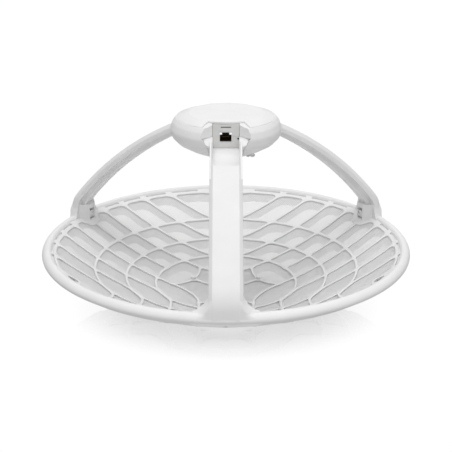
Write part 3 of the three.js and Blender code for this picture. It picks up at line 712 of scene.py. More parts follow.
# ---------- mounting plate and screws ----------
def build_mount_plate():
    plate = revolve(rounded([
        (0, 0), (PLATE_RADIUS, 0, 1), (PLATE_RADIUS, PLATE_THICKNESS, 0.6), (0, PLATE_THICKNESS),
    ], steps=4), 128)
    for azimuth in PLATE_SCREW_AZIMUTHS:
        x, y = polar(PLATE_SCREW_CIRCLE, azimuth)
        cut(plate, [post(4, x, y, -5, 2.8), post(2, x, y, 1, PLATE_THICKNESS + 5)])
    for azimuth in MOUNT_AZIMUTHS:
        x, y = polar(MOUNT_CIRCLE, azimuth)
        cutter = revolve([(MOUNT_HOLE + 1.6, -1), (MOUNT_HOLE, 0.6), (MOUNT_HOLE, PLATE_THICKNESS + 1),
                          (0, PLATE_THICKNESS + 1), (0, -1)], 48)
        shift(cutter, x, y)
        cut(plate, cutter)
    return finish_mesh(plate, "mounting_plate", 32)


def build_screw(node, head_radius, head_height, shank_radius, points_up):
    """Pan head screw with a cross recess and a threaded shank, in the place of a CAD screw."""
    start, end = low(node), high(node)
    length = end.z - start.z
    rings = [
        (0, 0), (head_radius * 0.72, 0), (head_radius * 0.94, head_height * 0.22),
        (head_radius, head_height * 0.55), (head_radius, head_height), (shank_radius, head_height),
    ]
    pitch = 0.45
    turns = int((length - head_height - 1) / pitch)
    for k in range(turns):
        z = head_height + 0.4 + k * pitch
        rings += [(shank_radius, z), (shank_radius * 0.82, z + pitch / 2)]
    rings += [(shank_radius * 0.8, length - 0.5), (shank_radius * 0.35, length), (0, length)]
    screw = revolve(rings, 32)
    half, deep = head_radius * 0.12, head_height * 0.55
    reach = head_radius * 0.55
    cross = [(half, -reach), (half, -half), (reach, -half), (reach, half), (half, half), (half, reach),
             (-half, reach), (-half, half), (-reach, half), (-reach, -half), (-half, -half), (-half, -reach)]
    cut(screw, upright(cross, -1, deep))
    centre = middle(node)
    flip = Matrix.Identity(4) if points_up else Matrix.Rotation(math.pi, 4, "X")
    base = start.z if points_up else end.z
    screw.data.transform(Matrix.Translation(Vector((centre.x, centre.y, base)) * MM) @ flip)
    return finish_mesh(screw, f"{node}_looks", 40)


# ---------- arms ----------
def arc_between(start, end, radius, steps):
    """Points on an arc that bulges up and outwards from start to end."""
    (x0, z0), (x1, z1) = start, end
    chord = math.hypot(x1 - x0, z1 - z0)
    rise = math.sqrt(radius ** 2 - (chord / 2) ** 2)
    cx = (x0 + x1) / 2 - (z0 - z1) / chord * rise
    cz = (z0 + z1) / 2 - (x1 - x0) / chord * rise
    first = math.atan2(z0 - cz, x0 - cx)
    last = math.atan2(z1 - cz, x1 - cx)
    return [
        (cx + radius * math.cos(first + (last - first) * k / steps),
         cz + radius * math.sin(first + (last - first) * k / steps))
        for k in range(steps + 1)
    ]


def arm_line():
    main = arc_between(ARM_TOP, ARM_BEND, ARM_ARC, 40)
    bend = arc_between(ARM_BEND, (FOOT_OUTER, FOOT_BEND_END), FOOT_BEND_RADIUS, 16)
    return [*main, *bend[1:], (FOOT_OUTER, 76), (FOOT_OUTER, 72), (FOOT_OUTER, 66)]


def moved_in(line, depth):
    result = []
    for k, (x, z) in enumerate(line):
        x0, z0 = line[max(k - 1, 0)]
        x1, z1 = line[min(k + 1, len(line) - 1)]
        length = math.hypot(x1 - x0, z1 - z0)
        result.append((x + (z1 - z0) / length * depth, z - (x1 - x0) / length * depth))
    return result


def swept(section, line):
    """Solid with a section of (sideways, depth) points along the arm's outer line, at azimuth 0."""
    depths = sorted({round(d, 4) for _, d in section})
    shifted = {d: moved_in(line, d) for d in depths}
    points = []
    for k in range(len(line)):
        for side, depth in section:
            x, z = shifted[round(depth, 4)][k]
            points.append((x, side, z))
    count = len(section)
    faces = [tuple(range(count)), tuple(range(len(points) - 1, len(points) - count - 1, -1))]
    for k in range(len(line) - 1):
        for s in range(count):
            a, b = k * count + s, k * count + (s + 1) % count
            faces.append((a, b, b + count, a + count))
    return add_mesh(points, faces)


def arm_section():
    """Flat outer panel, bevelled flanks that end in thin edges, and the deeper spine between two channels."""
    half = [
        (ARM_PANEL_HALF, 0, 1.2),
        (ARM_HALF - 0.1, 4.2, 1.6),
        (ARM_HALF, ARM_SHELL_DEPTH, 0.7),
        (ARM_HALF - 2.2, ARM_SHELL_DEPTH, 0.7),
        (ARM_HALF - 2.8, 5.2, 1.2),
        (SPINE_HALF + 0.6, 3.4, 1.2),
        (SPINE_HALF, ARM_TOTAL_DEPTH, 1.4),
    ]
    return rounded([(0, 0), *half, *[(-x, d, r) for x, d, r in reversed(half)]], steps=4)


def foot_flare(spread):
    """The foot's front spreads into the rim: hollow wings whose upper faces lean back, at azimuth 0."""
    front_edge = [(0, 92.5), (12.4, 92), (14.4, 88), (16.4, 82.4), (18.8, 78.2), (21, 76.2), (24, 74.7), (28, 73.2),
                  (32, 72)]
    top_edge = [(0, 94), (15.6, 94), (16.9, 90.5), (18.2, 87.6), (20.2, 84.4), (23.4, 80.6), (26, 78.4), (29, 76.6),
                (32, 75.8)]
    back, bottom = 189.2, 66.4
    reach = ARM_HALF + (front_edge[-1][0] - ARM_HALF) * spread
    arm = sorted((z, x - 0.02) for x, z in arm_line() if z < 100)
    bead = sorted((z, r) for r, z in BEAD_OUTER if r > 193)
    columns = np.linspace(-reach, reach, 65)
    rows = 28
    front, behind = [], []
    for side in columns:
        away = abs(side)
        if away > ARM_HALF:
            away = ARM_HALF + (away - ARM_HALF) / spread
        leaning = np.interp(away, *zip(*front_edge))
        top = leaning + max(np.interp(away, *zip(*top_edge)) - leaning, 0.8) * spread
        wing = min(max((away - 17) / 14, 0), 1)
        wing = wing * wing * (3 - 2 * wing)
        for k in range(rows + 1):
            z = bottom + (top - bottom) * k / rows
            radius = np.interp(z, *zip(*arm))
            radius += wing * (np.interp(z, *zip(*bead)) - radius)
            lean = min(max((z - leaning) / (top - leaning), 0), 1)
            radius = min(radius, radius + lean ** 1.4 * (back + 0.8 - radius))
            angle = math.asin(side / radius)
            front.append((radius * math.cos(angle), side, z))
            behind.append((math.sqrt(back ** 2 - side ** 2), side, z))
    faces = []
    across, up, total = len(columns), rows + 1, len(front)
    for c in range(across - 1):
        for k in range(rows):
            a, b = c * up + k, (c + 1) * up + k
            faces += [(a, b, b + 1, a + 1), (total + a, total + a + 1, total + b + 1, total + b)]
        for k in (0, rows):
            a, b = c * up + k, (c + 1) * up + k
            faces.append((a, total + a, total + b, b))
    for c in (0, across - 1):
        for k in range(rows):
            a = c * up + k
            faces.append((a, a + 1, total + a + 1, total + a))
    return add_mesh(front + behind, faces)


def rim_space(grow):
    """Everything that the rim, the ribs and the sheet fill, grown by a fit."""
    outer = [(r + (grow if r > 193 else -grow), z + grow) for r, z in BEAD_OUTER[4:15]]
    inner_line = [(r, sheet_top(r) + 1.5 + grow) for r in np.linspace(160, 189.4, 10)]
    return revolve([*inner_line, *outer, (DISH_RADIUS + grow, 40), (160, 40)], 256)


def arm_body(side):
    arm = swept(arm_section(), arm_line())
    foot = rounded([
        (FOOT_INNER, -FOOT_INNER_HALF, 2.2), (193.4, -ARM_HALF + 0.5, 2), (194.6, -ARM_HALF + 0.5),
        (194.6, ARM_HALF - 0.5), (193.4, ARM_HALF - 0.5, 2), (FOOT_INNER, FOOT_INNER_HALF, 2.2),
    ])
    foot_block = upright(foot, 62, FOOT_TOP)
    join(arm, bevel(foot_block, 1.2, 3, 60))
    join(arm, foot_flare(1.0 if side == "front" else 0.3))
    cut(arm, rim_space(FIT))
    pocket = block((FOOT_INNER - 5, POCKET_BACK), (-POCKET_HALF, POCKET_HALF), POCKET_HEIGHTS)
    cut(arm, pocket)
    return arm


def head_hull(grow, top, segments=192):
    """The head's outside below its cap, filled in up to `top`."""
    outline = [(r + (grow if r > 22 else 0), z - (grow if z < 204 else 0)) for r, z in head_outside()]
    above = [(0, top), (outline[0][0], top)] if top > BODY_TOP else [(0, BODY_TOP)]
    return revolve([*above, *outline, (0, 172)], segments)


def head_outside():
    """The head body's outer outline, from its top edge down to the opening for the feed window."""
    sharp = [
        (CAP_EDGE, BODY_TOP, 0.8),
        (56.6, 211.6, 8),
        (HEAD_RADIUS + 0.15, 204.4, 8),
        (57.6, 196.6, 7),
        (51, 189.6, 9),
        (38, 182.4, 30),
        (21, 175.5, 0.6),
    ]
    closed = rounded([(0, BODY_TOP), *sharp, (0, 175.5)], steps=6)
    return [p for p in closed if p[0] > 1]


def bay_cutter():
    """Space of the front arm's port bay, at azimuth 0."""
    floor = [(x, z) for x, z in moved_in(arm_line(), BAY_DEPTH) if z < BAY_FLOOR and x < BAY_END + 6]
    side = [(-PORT_Y - 5, BAY_FLOOR), *floor, (BAY_END + 8, 240), (-PORT_Y - 5, 240)]
    plan = rounded([
        (-PORT_Y - 5, -BAY_HALF), (BAY_END, -BAY_HALF, 4), (BAY_END, BAY_HALF, 4), (-PORT_Y - 5, BAY_HALF),
    ])
    return keep(upright(plan, 170, 245), sideways(side, BAY_HALF + 3))


def bay_tray():
    """The thicker floor under the port bay, at azimuth 0."""
    underside = [(x, z) for x, z in moved_in(arm_line(), BAY_DEPTH + 2.8) if z < BAY_FLOOR - 2.8 and x < BAY_END + 8]
    back = [(x, z) for x, z in moved_in(arm_line(), 2.6) if x < BAY_END + 12]
    side = [(-PORT_Y + GAP, BAY_FLOOR - 2.8), *underside, *reversed(back), (-PORT_Y + GAP, 203)]
    return sideways(side, ARM_HALF - 0.25)


def bay_receptacle(side):
    """Snap receptacle of the missing bay cover, in a lower corner of the bay's far end."""
    x = side * 12.4
    near, far = -BAY_END + 3.4, -BAY_END - 0.5
    floor = np.interp(BAY_END - 2, *zip(*[p for p in moved_in(arm_line(), BAY_DEPTH) if p[0] < 110]))
    catch = block((x - 1.9, x + 1.9), (far, near), (floor - 3, floor + 3.2), 0.4)
    return cut(catch, block((x - 1.1, x + 1.1), (far + 1.6, near - 0.7), (floor - 0.5, floor + 6), 0.3))


def build_front_arm():
    arm = join(turn(arm_body("front"), ARMS["front"]), turn(bay_tray(), ARMS["front"]))
    half = [(24.5, CHEEK_TOP - GAP, 0.8), (23.6, 204.6, 2), (17.7, 195, 8), (17.7, BAY_FLOOR - 3)]
    outline = rounded(mirrored(half))
    notch_far = HEAD_RADIUS + 5
    outside = head_hull(GAP, 230)
    cut(outside, forwards(outline, -PORT_Y + GAP, notch_far))
    cheeks = keep(forwards(outline, -PORT_Y + GAP, notch_far), head_hull(0, 230))
    cut(arm, outside)
    sloping = [(PORT_Y * -1, 188), (HEAD_RADIUS + 5, 188), (HEAD_RADIUS + 5, 194.6), (58.6, 196.4), (55.6, 199),
               (51.8, 202.6), (47.5, 205), (43, 206.4), (PORT_Y * -1, 206.4)]
    join(arm, keep(cheeks, turn(sideways(rounded(sloping, 2.0), 30), ARMS["front"])))
    cut(arm, turn(bay_cutter(), ARMS["front"]))
    join(arm, [bay_receptacle(-1), bay_receptacle(1)])
    return finish_mesh(arm, "arm_front_looks", 30)


def build_back_arm(side):
    arm = turn(arm_body(side), ARMS[side])
    cut(arm, head_hull(GAP, 230))
    return finish_mesh(arm, f"arm_{side}_looks", 30)


def build_latch(side):
    """Snap latch in the foot's window: a tongue with a finger step and a sloping nose."""
    node = f"foot_latch_{side}"
    front = FOOT_INNER + 0.6
    profile = rounded([
        (front, LATCH_BOTTOM, 0.4), (front, 74.4, 0.3), (front + 0.9, 75, 0.3), (front + 0.9, 76.6, 0.3),
        (front - 0.4, 77.4, 0.3), (front - 0.4, 78.4, 0.3), (front + 0.2, LATCH_TOP, 0.3),
        (LATCH_BACK, LATCH_TOP, 0.4), (LATCH_BACK, LATCH_BOTTOM, 0.4),
    ], steps=3)
    tongue = sideways(profile, LATCH_HALF)
    cut(tongue, block((front - 1, front + 0.8), (-2.2, 2.2), (72.1, 73.9), 0.0))
    return finish_mesh(turn(tongue, ARMS[side]), f"latch_{side}_looks", 35)


# ---------- head ----------
NOTCH_HALF = [(18.7, 230), (18.7, 220, 1), (25.5, 215.6, 2), (27, 208.1, 3), (24, 204.7, 2), (18.1, 195, 8),
              (18.1, 184)]


def head_notch(near):
    return forwards(rounded(mirrored(NOTCH_HALF)), near, HEAD_RADIUS + 16)


def build_head_body():
    inside = [
        (50.6, BODY_TOP), (50.6, 215.4), (54.8, 210, 5), (56.4, 204, 5), (55.2, 197.2, 5), (49.8, 191.9, 6),
        (21, 178.3),
    ]
    inside_line = [p for p in rounded([(0, BODY_TOP), *inside, (0, 178.3)]) if p[0] > 1]
    shell = revolve([*head_outside(), *reversed(inside_line)], 192)
    plate_room = BAY_HALF + GAP
    surround_back = PORT_Y + 5.6
    inset = [(r - 0.3, z + 0.3) for r, z in reversed(head_outside()) if 21.5 < r and z < BODY_TOP - 1]
    under_cap = revolve([(0, 172), (21, 176), *inset, (50.6, BODY_TOP - 0.1), (CAP_DISC, 218.75), (0, 219)],
                        180)
    surround = keep(block((-30, 30), (-HEAD_RADIUS - 5, surround_back), (185, 225)), under_cap)
    join(shell, surround)
    lower = keep(head_notch(-PORT_Y), block((-40, 40), (-80, 0), (170, CHEEK_TOP)))
    cut(shell, lower)
    splay = upright(mirrored([(plate_room - 0.7, PORT_Y + 4), (plate_room - 0.3, PORT_Y - 0.7), (27, -53),
                              (27, -78)]),
                    CHEEK_TOP - 0.1, 240)
    cut(shell, keep(splay, head_notch(30)))
    cut(shell, block((-plate_room, plate_room), (PORT_Y - 1, -30), (192.2, 240)))
    for azimuth in BISECTORS:
        x, y = polar(HEAD_SCREW_CIRCLE, azimuth)
        join(shell, keep(post(5, x, y, 184, 195), head_hull(-0.4, BODY_TOP, 180)))
        cut(shell, [post(3.6, x, y, 180, 190.4), post(1.7, x, y, 180, 200)])
    vent = middle("pressure_vent")
    cut(shell, post(4.4, vent.x, vent.y, 170, 190))
    return finish_mesh(shell, "head_body_looks", 30)


def build_head_cap():
    outline = rounded([
        (0, CAP_TOP), (25, CAP_TOP - 0.1), (CAP_DISC - 0.5, CAP_TOP - 0.4, 0.3), (CAP_DISC, CAP_TOP - 0.65, 0.3),
        (CAP_EDGE, BODY_TOP + 0.06, 0.2), (50.6, BODY_TOP + 0.1), (CAP_DISC, 218.9, 2), (0, 219.2),
    ], steps=3)
    cap = revolve(outline, 192)
    half = [(18.7, -35.4), (25.5, -46.5), (28, -60)]
    notch = upright(mirrored(half), 200, 226)
    cut(notch, post(CAP_DISC, 0, 0, 190, 230, 192))
    cut(cap, notch)
    for azimuth in BISECTORS:
        x, y = polar(HEAD_SCREW_CIRCLE, azimuth)
        under_top = revolve([(0, 190), (CAP_EDGE, 190), (CAP_EDGE, 216), (CAP_DISC, 220), (0, 220)], 96)
        join(cap, keep(post(4, x, y, 195.4, 225), under_top))
        cut(cap, post(1.7, x, y, 190, 207))
    return finish_mesh(cap, "head_cap_looks", 30)


def jack_opening(near, far):
    step_z = JACK_Z[1] - JACK_STEP
    outline = rounded(mirrored([
        (JACK_STEP_HALF, JACK_Z[1], 0.25), (JACK_STEP_HALF, step_z, 0.15), (JACK_HALF, step_z, 0.3),
        (JACK_HALF, JACK_Z[0], 0.3),
    ]), steps=3)
    return forwards([(x + JACK_X, z) for x, z in outline], -far, -near)


def build_port_plate():
    front, back = PORT_Y, high("port_plate").y
    plate = front_block((-BAY_HALF, BAY_HALF), (front, back), (low("port_plate").z, 218.6), 0.6)
    cut(plate, jack_opening(front - 5, back + 5))
    for side in (-1, 1):
        x, z = light_window(side)
        cut(plate, front_block(x, (front - 5, back + 5), z, 0.2))
    cut(plate, rod(1.05, *BUTTON, -back - 5, -front + 5))
    lo, hi = low("status_window"), high("status_window")
    cut(plate, front_block((lo.x - 0.2, hi.x + 0.2), (front - 5, back + 5), (lo.z - 0.2, hi.z + 0.2), 0.4))
    groove_top = 205.9
    cut(plate, front_block((6.6, BAY_HALF + 1), (front - 1, front + 0.35), (groove_top - 0.35, groove_top)))
    frame_outer = front_block((JACK_X - 7.1, JACK_X + 7.1), (front - 1, front + 0.25), (198.6, 211.0), 0.6)
    frame_inner = front_block((JACK_X - 6.75, JACK_X + 6.75), (front - 2, front + 1), (198.95, 210.65), 0.5)
    cut(frame_outer, frame_inner)
    cut(plate, frame_outer)
    return finish_mesh(plate, "port_plate_looks", 30)


def light_window(side):
    """The small square window beside the jack's step: its x and z ranges."""
    inner = JACK_X + side * (JACK_STEP_HALF + 0.35)
    outer = JACK_X + side * (JACK_HALF + 0.1)
    return (min(inner, outer), max(inner, outer)), (JACK_Z[1] - JACK_STEP + 0.3, JACK_Z[1] - 0.5)


def build_jack_light(side):
    x, z = light_window(side)
    lens = front_block((x[0] + FIT, x[1] - FIT), (PORT_Y + 0.1, PORT_Y + 1.9), (z[0] + FIT, z[1] - FIT), 0.2)
    return finish_mesh(bevel(lens, 0.15, 2, 60), f"jack_light_{'left' if side < 0 else 'right'}_looks", 40)


def build_contacts():
    """Eight sprung wires that slope down to the back of the jack, and the comb that holds them."""
    lo, hi = low("jack_contacts"), high("jack_contacts")
    comb = block((lo.x, hi.x), (hi.y - 1.4, hi.y), (lo.z, lo.z + 1.4), 0.2)
    for number in range(8):
        x = JACK_X + (number - 3.5) * 1.02
        wire = [(lo.y, lo.z + 1.9), (lo.y + 0.4, lo.z + 2.2), (hi.y - 1, lo.z + 0.9), (hi.y - 1, lo.z + 0.5),
                (lo.y + 0.4, lo.z + 1.8)]
        join(comb, extrude(wire, x - 0.2, x + 0.2, lambda u, v, w: (w, u, v)))
    return finish_mesh(comb, "jack_contacts_looks", 30)


def build_feed():
    """Feed horn and its domed window under the head."""
    window = revolve(rounded([
        (0, 172.6), (13.5, 172.9, 12), (20.6, 175.6, 0.8), (20.6, 178, 0.3), (16, 178), (14, 175.2, 2), (0, 174.8),
    ]), 128)
    horn_top = high("feed_horn").z
    horn = revolve(rounded([
        (8, horn_top, 0.3), (8, 186, 2), (15, 178.6, 0.3), (13.6, 178.6, 0.3), (6.6, 185.5, 2),
        (6.6, horn_top - 1.5), (0, horn_top - 1.5), (0, horn_top),
    ]), 96)
    return finish_mesh(window, "feed_window_looks", 30), finish_mesh(horn, "feed_horn_looks", 30)


def build_vent():
    vent = middle("pressure_vent")
    bottom, top = low("pressure_vent").z + 1.9, high("pressure_vent").z
    body = revolve(rounded([
        (0, bottom), (4.9, bottom, 0.8), (5.2, bottom + 1.6, 0.3), (4, bottom + 1.6), (4, top, 0.3), (0, top),
    ]), 64)
    for k in range(12):
        knurl = post(0.35, *polar(5.5, 30 * k), bottom - 1, bottom + 3, 12)
        cut(body, knurl)
    cut(body, block((-1.4, 1.0), (-7, 7), (bottom - 1, bottom + 1.1)))
    shift(body, vent.x, vent.y)
    return finish_mesh(body, "pressure_vent_looks", 32)


# ---------- materials ----------
def add_node(tree, kind, inputs=None, **settings):
    """A shader node with its settings. An input takes a constant or another node's output."""
    node = tree.nodes.new(f"ShaderNode{kind}")
    for key, value in settings.items():
        setattr(node, key, value)
    for key, value in (inputs or {}).items():
        if isinstance(value, bpy.types.NodeSocket):
            tree.links.new(value, node.inputs[key])
        else:
            node.inputs[key].default_value = value
    return node


def new_material(name):
    """An empty material, its node tree and its object coordinates."""
    material = bpy.data.materials.new(name)
    material.use_nodes = True
    tree = material.node_tree
    tree.nodes.clear()
    return material, tree, add_node(tree, "TexCoord").outputs["Object"]


def vector_math(tree, operation, *values):
    node = add_node(tree, "VectorMath", dict(enumerate(values)), operation=operation)
    return node.outputs["Value" if operation == "LENGTH" else "Vector"]


def math_node(tree, operation, *values):
    return add_node(tree, "Math", dict(enumerate(values)), operation=operation).outputs[0]


def noise(tree, coords, size_mm, detail=2.0):
    inputs = {"Scale": 1 / (size_mm * MM), "Detail": detail, "Vector": coords}
    return add_node(tree, "TexNoise", inputs).outputs["Fac"]


def spread(tree, value, lowest, highest):
    inputs = {"Value": value, "To Min": lowest, "To Max": highest}
    return add_node(tree, "MapRange", inputs).outputs[0]


def ramp(tree, value, low_colour, high_colour, start=0.3, end=0.7):
    node = add_node(tree, "ValToRGB", {0: value})
    for element, position, colour in zip(node.color_ramp.elements, (start, end), (low_colour, high_colour)):
        element.position = position
        element.color = (*colour, 1)
    return node.outputs[0]


def bumped(tree, height, strength, distance_mm):
    inputs = {"Strength": strength, "Distance": distance_mm * MM, "Height": height}
    return add_node(tree, "Bump", inputs).outputs[0]


def principled(tree, **inputs):
    named = {key.replace("_", " ").title(): value for key, value in inputs.items()}
    return add_node(tree, "BsdfPrincipled", named).outputs[0]


def mixed(tree, share, first, second):
    return add_node(tree, "MixShader", {0: share, 1: first, 2: second}).outputs[0]


def textured(name, colour, rough, grain_mm=0.9, grain_depth=0.004, drift=0.02, metallic=0.0, coat=0.0,
             brushed=None, glow=0.0):
    """Moulded or worked surface: colour that drifts slightly, a fine grain and uneven gloss."""
    material, tree, coords = new_material(name)
    grain_coords = coords
    if brushed:
        grain_coords = add_node(tree, "Mapping", {"Scale": brushed, "Vector": coords}).outputs[0]
    darker = tuple(c * (1 - drift) for c in colour)
    lighter = tuple(min(1.0, c * (1 + drift)) for c in colour)
    shader = principled(
        tree,
        base_color=ramp(tree, noise(tree, coords, 28, 3), darker, lighter),
        roughness=spread(tree, noise(tree, grain_coords, 6, 4), max(0.02, rough - 0.06), rough + 0.06),
        normal=bumped(tree, noise(tree, grain_coords, grain_mm, 2), 0.06, grain_depth),
        metallic=metallic, coat_weight=coat, emission_color=(1, 1, 1, 1), emission_strength=glow,
    )
    add_node(tree, "OutputMaterial", {"Surface": shader})
    return material


def perforated(name, colour, pitch=2.0, hole=1.3):
    """Painted sheet with staggered round holes, which are see-through."""
    material, tree, coords = new_material(name)
    cell = Vector((pitch * MM, pitch * math.sqrt(3) * MM, 1.0))
    distances = []
    for part in (0.0, 0.5):
        moved = vector_math(tree, "ADD", coords, (cell.x * part, cell.y * part, 0))
        flat = vector_math(tree, "MULTIPLY", moved, (1, 1, 0))
        distances.append(vector_math(tree, "LENGTH", vector_math(tree, "WRAP", flat, cell / 2, -cell / 2)))
    nearest = math_node(tree, "MINIMUM", *distances)
    open_share = math_node(tree, "LESS_THAN", nearest, hole / 2 * MM)
    edge = {"Value": nearest, "From Min": hole / 2 * MM, "From Max": (hole / 2 + 0.15) * MM}
    shader = principled(
        tree,
        base_color=ramp(tree, noise(tree, coords, 35, 3), tuple(c * 0.97 for c in colour), colour),
        roughness=spread(tree, noise(tree, coords, 5, 4), 0.42, 0.56),
        normal=bumped(tree, add_node(tree, "MapRange", edge).outputs[0], 0.4, 0.08),
    )
    clear = add_node(tree, "BsdfTransparent").outputs[0]
    add_node(tree, "OutputMaterial", {"Surface": mixed(tree, open_share, shader, clear)})
    return material


def circuit_board(name):
    """Green solder mask over copper tracks, with the tracks a little proud."""
    material, tree, coords = new_material(name)
    brick = add_node(tree, "TexBrick", {
        "Scale": 1 / (9 * MM), "Mortar Size": 0.035, "Color1": (0.012, 0.11, 0.045, 1),
        "Color2": (0.016, 0.13, 0.05, 1), "Mortar": (0.05, 0.22, 0.09, 1), "Vector": coords,
    })
    shader = principled(
        tree,
        base_color=brick.outputs["Color"],
        roughness=spread(tree, noise(tree, coords, 3, 3), 0.28, 0.42),
        normal=bumped(tree, brick.outputs["Fac"], 0.5, 0.03),
    )
    add_node(tree, "OutputMaterial", {"Surface": shader})
    return material


MATERIALS = {
    "white_plastic": textured("white_plastic", (0.84, 0.84, 0.84), 0.42),
    "frame_plastic": textured("frame_plastic", (0.84, 0.84, 0.84), 0.46, grain_mm=1.0),
    "mesh_sheet": perforated("mesh_sheet", (0.92, 0.92, 0.92)),
    "plate_steel": textured("plate_steel", (0.42, 0.43, 0.44), 0.38, 0.5, 0.01, 0.08, 1.0, brushed=(1, 14, 1)),
    "screw_steel": textured("screw_steel", (0.50, 0.50, 0.51), 0.3, 0.3, 0.006, 0.05, 1.0),
    "port_plastic": textured("port_plastic", (0.72, 0.715, 0.705), 0.55, grain_mm=0.35, grain_depth=0.02),
    "black_plastic": textured("black_plastic", (0.012, 0.012, 0.013), 0.5, grain_mm=0.3, drift=0.2),
    "clear_plastic": textured("clear_plastic", (0.92, 0.92, 0.92), 0.25, grain_mm=0.8, drift=0.02, coat=0.4),
    "light_window": textured("light_window", (0.92, 0.92, 0.92), 0.25, grain_mm=0.8, coat=0.4, glow=0.45),
    # Brass colour of the jack contacts, darkened to paint the shade deep inside the jack.
    "contact_brass": textured("contact_brass", (0.30, 0.20, 0.07), 0.3, 0.2, 0.004, 0.06, 1.0, brushed=(8, 1, 1)),
    "board_green": circuit_board("board_green"),
    "shield_aluminium": textured("shield_aluminium", (0.62, 0.62, 0.63), 0.34, 0.4, 0.01, 0.05, 1.0,
                                 brushed=(12, 1, 1)),
    "seal_rubber": textured("seal_rubber", (0.03, 0.03, 0.032), 0.72, grain_mm=0.6, grain_depth=0.03, drift=0.15),
}


def paint(obj, finish):
    obj.data.materials.clear()
    obj.data.materials.append(MATERIALS[finish])


def place(obj, finish, body, *nodes):
    paint(obj, finish)
    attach(obj, body)
    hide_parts(*nodes)


# ---------- assembly ----------
place(build_front_moulding(), "frame_plastic", "bridge", "front_frame", "front_grid")
place(build_sheet(), "mesh_sheet", "bridge", "reflector_mesh")
place(build_rear_moulding(), "frame_plastic", "bridge", "rear_frame", "rear_hub")
place(build_mount_plate(), "plate_steel", "bridge", "mount_plate")
place(build_front_arm(), "white_plastic", "bridge", "arm_front")
for arm_side in ("back_left", "back_right"):
    place(build_back_arm(arm_side), "white_plastic", "bridge", f"arm_{arm_side}")
for arm_side in ARMS:
    place(build_latch(arm_side), "white_plastic", f"latch_{arm_side}", f"foot_latch_{arm_side}")
place(build_head_body(), "white_plastic", "bridge", "head_body")
place(build_head_cap(), "white_plastic", "bridge", "head_cap")
place(build_port_plate(), "port_plastic", "bridge", "port_plate")
place(build_contacts(), "contact_brass", "bridge", "jack_contacts")
for light_side, light_name in ((-1, "left"), (1, "right")):
    place(build_jack_light(light_side), "light_window", "bridge", f"jack_light_{light_name}")
feed_window, feed_horn = build_feed()
place(feed_window, "clear_plastic", "bridge", "feed_window")
place(feed_horn, "shield_aluminium", "bridge", "feed_horn")
place(build_vent(), "white_plastic", "bridge", "pressure_vent")
for number in (1, 2, 3):
    place(build_screw(f"grid_screw_{number}", 2.2, 1.2, 1.1, False), "screw_steel", "bridge",
          f"grid_screw_{number}")
    place(build_screw(f"head_screw_{number}", 3.2, 2.2, 1.4, True), "screw_steel", "bridge",
          f"head_screw_{number}")
for number in (1, 2, 3, 4):
    place(build_screw(f"mount_screw_{number}", 3.6, 2.2, 1.7, True), "screw_steel", "bridge",
          f"mount_screw_{number}")

KEPT = {
    "status_window": "black_plastic",
    "ethernet_jack": "black_plastic",
    "reset_button": "black_plastic",
    "reset_switch": "black_plastic",
    "main_board": "board_green",
    "rf_shield": "shield_aluminium",
    "heat_spreader": "shield_aluminium",
    "head_seal": "seal_rubber",
}
for node_name, finish_name in KEPT.items():
    paint(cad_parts[node_name], finish_name)


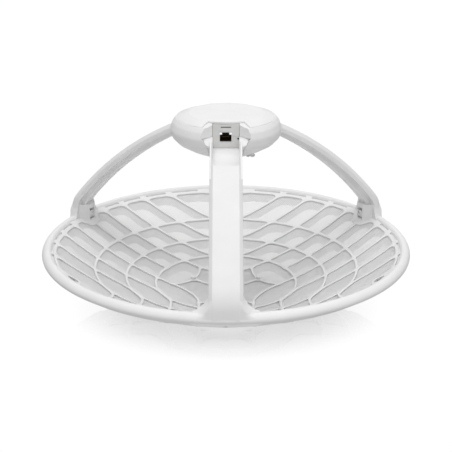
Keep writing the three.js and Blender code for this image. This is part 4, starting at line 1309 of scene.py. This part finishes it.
# ---------- stage ----------
def build_floor():
    """Pale floor that mirrors the object softly near it."""
    size = 6.0
    mesh = bpy.data.meshes.new("floor")
    mesh.from_pydata([(-size, -size, 0), (size, -size, 0), (size, size, 0), (-size, size, 0)], [], [(0, 1, 2, 3)])
    floor = bpy.data.objects.new("floor", mesh)
    bpy.context.scene.collection.objects.link(floor)
    material, tree, coords = new_material("floor")
    seen = add_node(tree, "LightPath").outputs["Is Camera Ray"]
    radius = vector_math(tree, "LENGTH", vector_math(tree, "MULTIPLY", coords, (0.8, 1, 1)))
    fade = add_node(tree, "MapRange", {
        "Value": radius, "From Min": 0.075, "From Max": 0.155, "To Min": FLOOR_MIRROR, "To Max": 0.0,
    }, interpolation_type="SMOOTHSTEP")
    glow = add_node(tree, "Emission", {"Strength": spread(tree, seen, FLOOR_BOUNCE, WHITE)})
    mirror = add_node(tree, "BsdfGlossy", {"Roughness": 0.02})
    mirrored_share = math_node(tree, "MULTIPLY", fade.outputs[0], seen)
    surface = mixed(tree, mirrored_share, glow.outputs[0], mirror.outputs[0])
    add_node(tree, "OutputMaterial", {"Surface": surface})
    floor.data.materials.append(material)


def build_world():
    """White surroundings, brighter overhead than at the sides for everything but the camera."""
    world = bpy.data.worlds.new("studio")
    bpy.context.scene.world = world
    world.use_nodes = True
    world.cycles.sampling_method = "NONE"
    tree = world.node_tree
    tree.nodes.clear()
    path = add_node(tree, "LightPath")
    split = add_node(tree, "SeparateXYZ", {0: add_node(tree, "TexCoord").outputs["Generated"]})
    sky = add_node(tree, "MapRange", {
        "Value": split.outputs["Z"], "From Min": 0.05, "From Max": 1.0, "To Min": SIDE_LIGHT, "To Max": TOP_LIGHT,
    })
    seen = math_node(tree, "MAXIMUM", path.outputs["Is Camera Ray"], path.outputs["Is Glossy Ray"])
    strength = add_node(tree, "Mix", {"Factor": seen, "A": sky.outputs[0], "B": WHITE}, data_type="FLOAT")
    background = add_node(tree, "Background", {"Strength": strength.outputs["Result"]})
    add_node(tree, "OutputWorld", {"Surface": background.outputs[0]})


def add_softbox(name, place_at, aim, size, power):
    light = bpy.data.lights.new(name, "AREA")
    light.shape = "RECTANGLE"
    light.size, light.size_y = size
    light.energy = power
    lamp = bpy.data.objects.new(name, light)
    bpy.context.scene.collection.objects.link(lamp)
    lamp.location = place_at
    lamp.rotation_euler = (Vector(aim) - Vector(place_at)).to_track_quat("-Z", "Y").to_euler()
    lamp.visible_camera = False
    lamp.visible_glossy = False


def build_stage():
    build_floor()
    build_world()
    for softbox in SOFTBOXES:
        add_softbox(*softbox)
    scene = bpy.context.scene
    scene.view_settings.view_transform = "Standard"
    camera_data = bpy.data.cameras.new("camera")
    camera_data.sensor_width = 36
    camera_data.lens = CAMERA_LENS
    camera_data.clip_end = 50
    camera = bpy.data.objects.new("camera", camera_data)
    scene.collection.objects.link(camera)
    elevation = math.radians(CAMERA_ELEVATION)
    camera.location = Vector(CAMERA_TARGET) + CAMERA_DISTANCE * Vector((0, -math.cos(elevation), math.sin(elevation)))
    camera.rotation_euler = (math.pi / 2 - elevation, 0, 0)
    scene.camera = camera


build_stage()
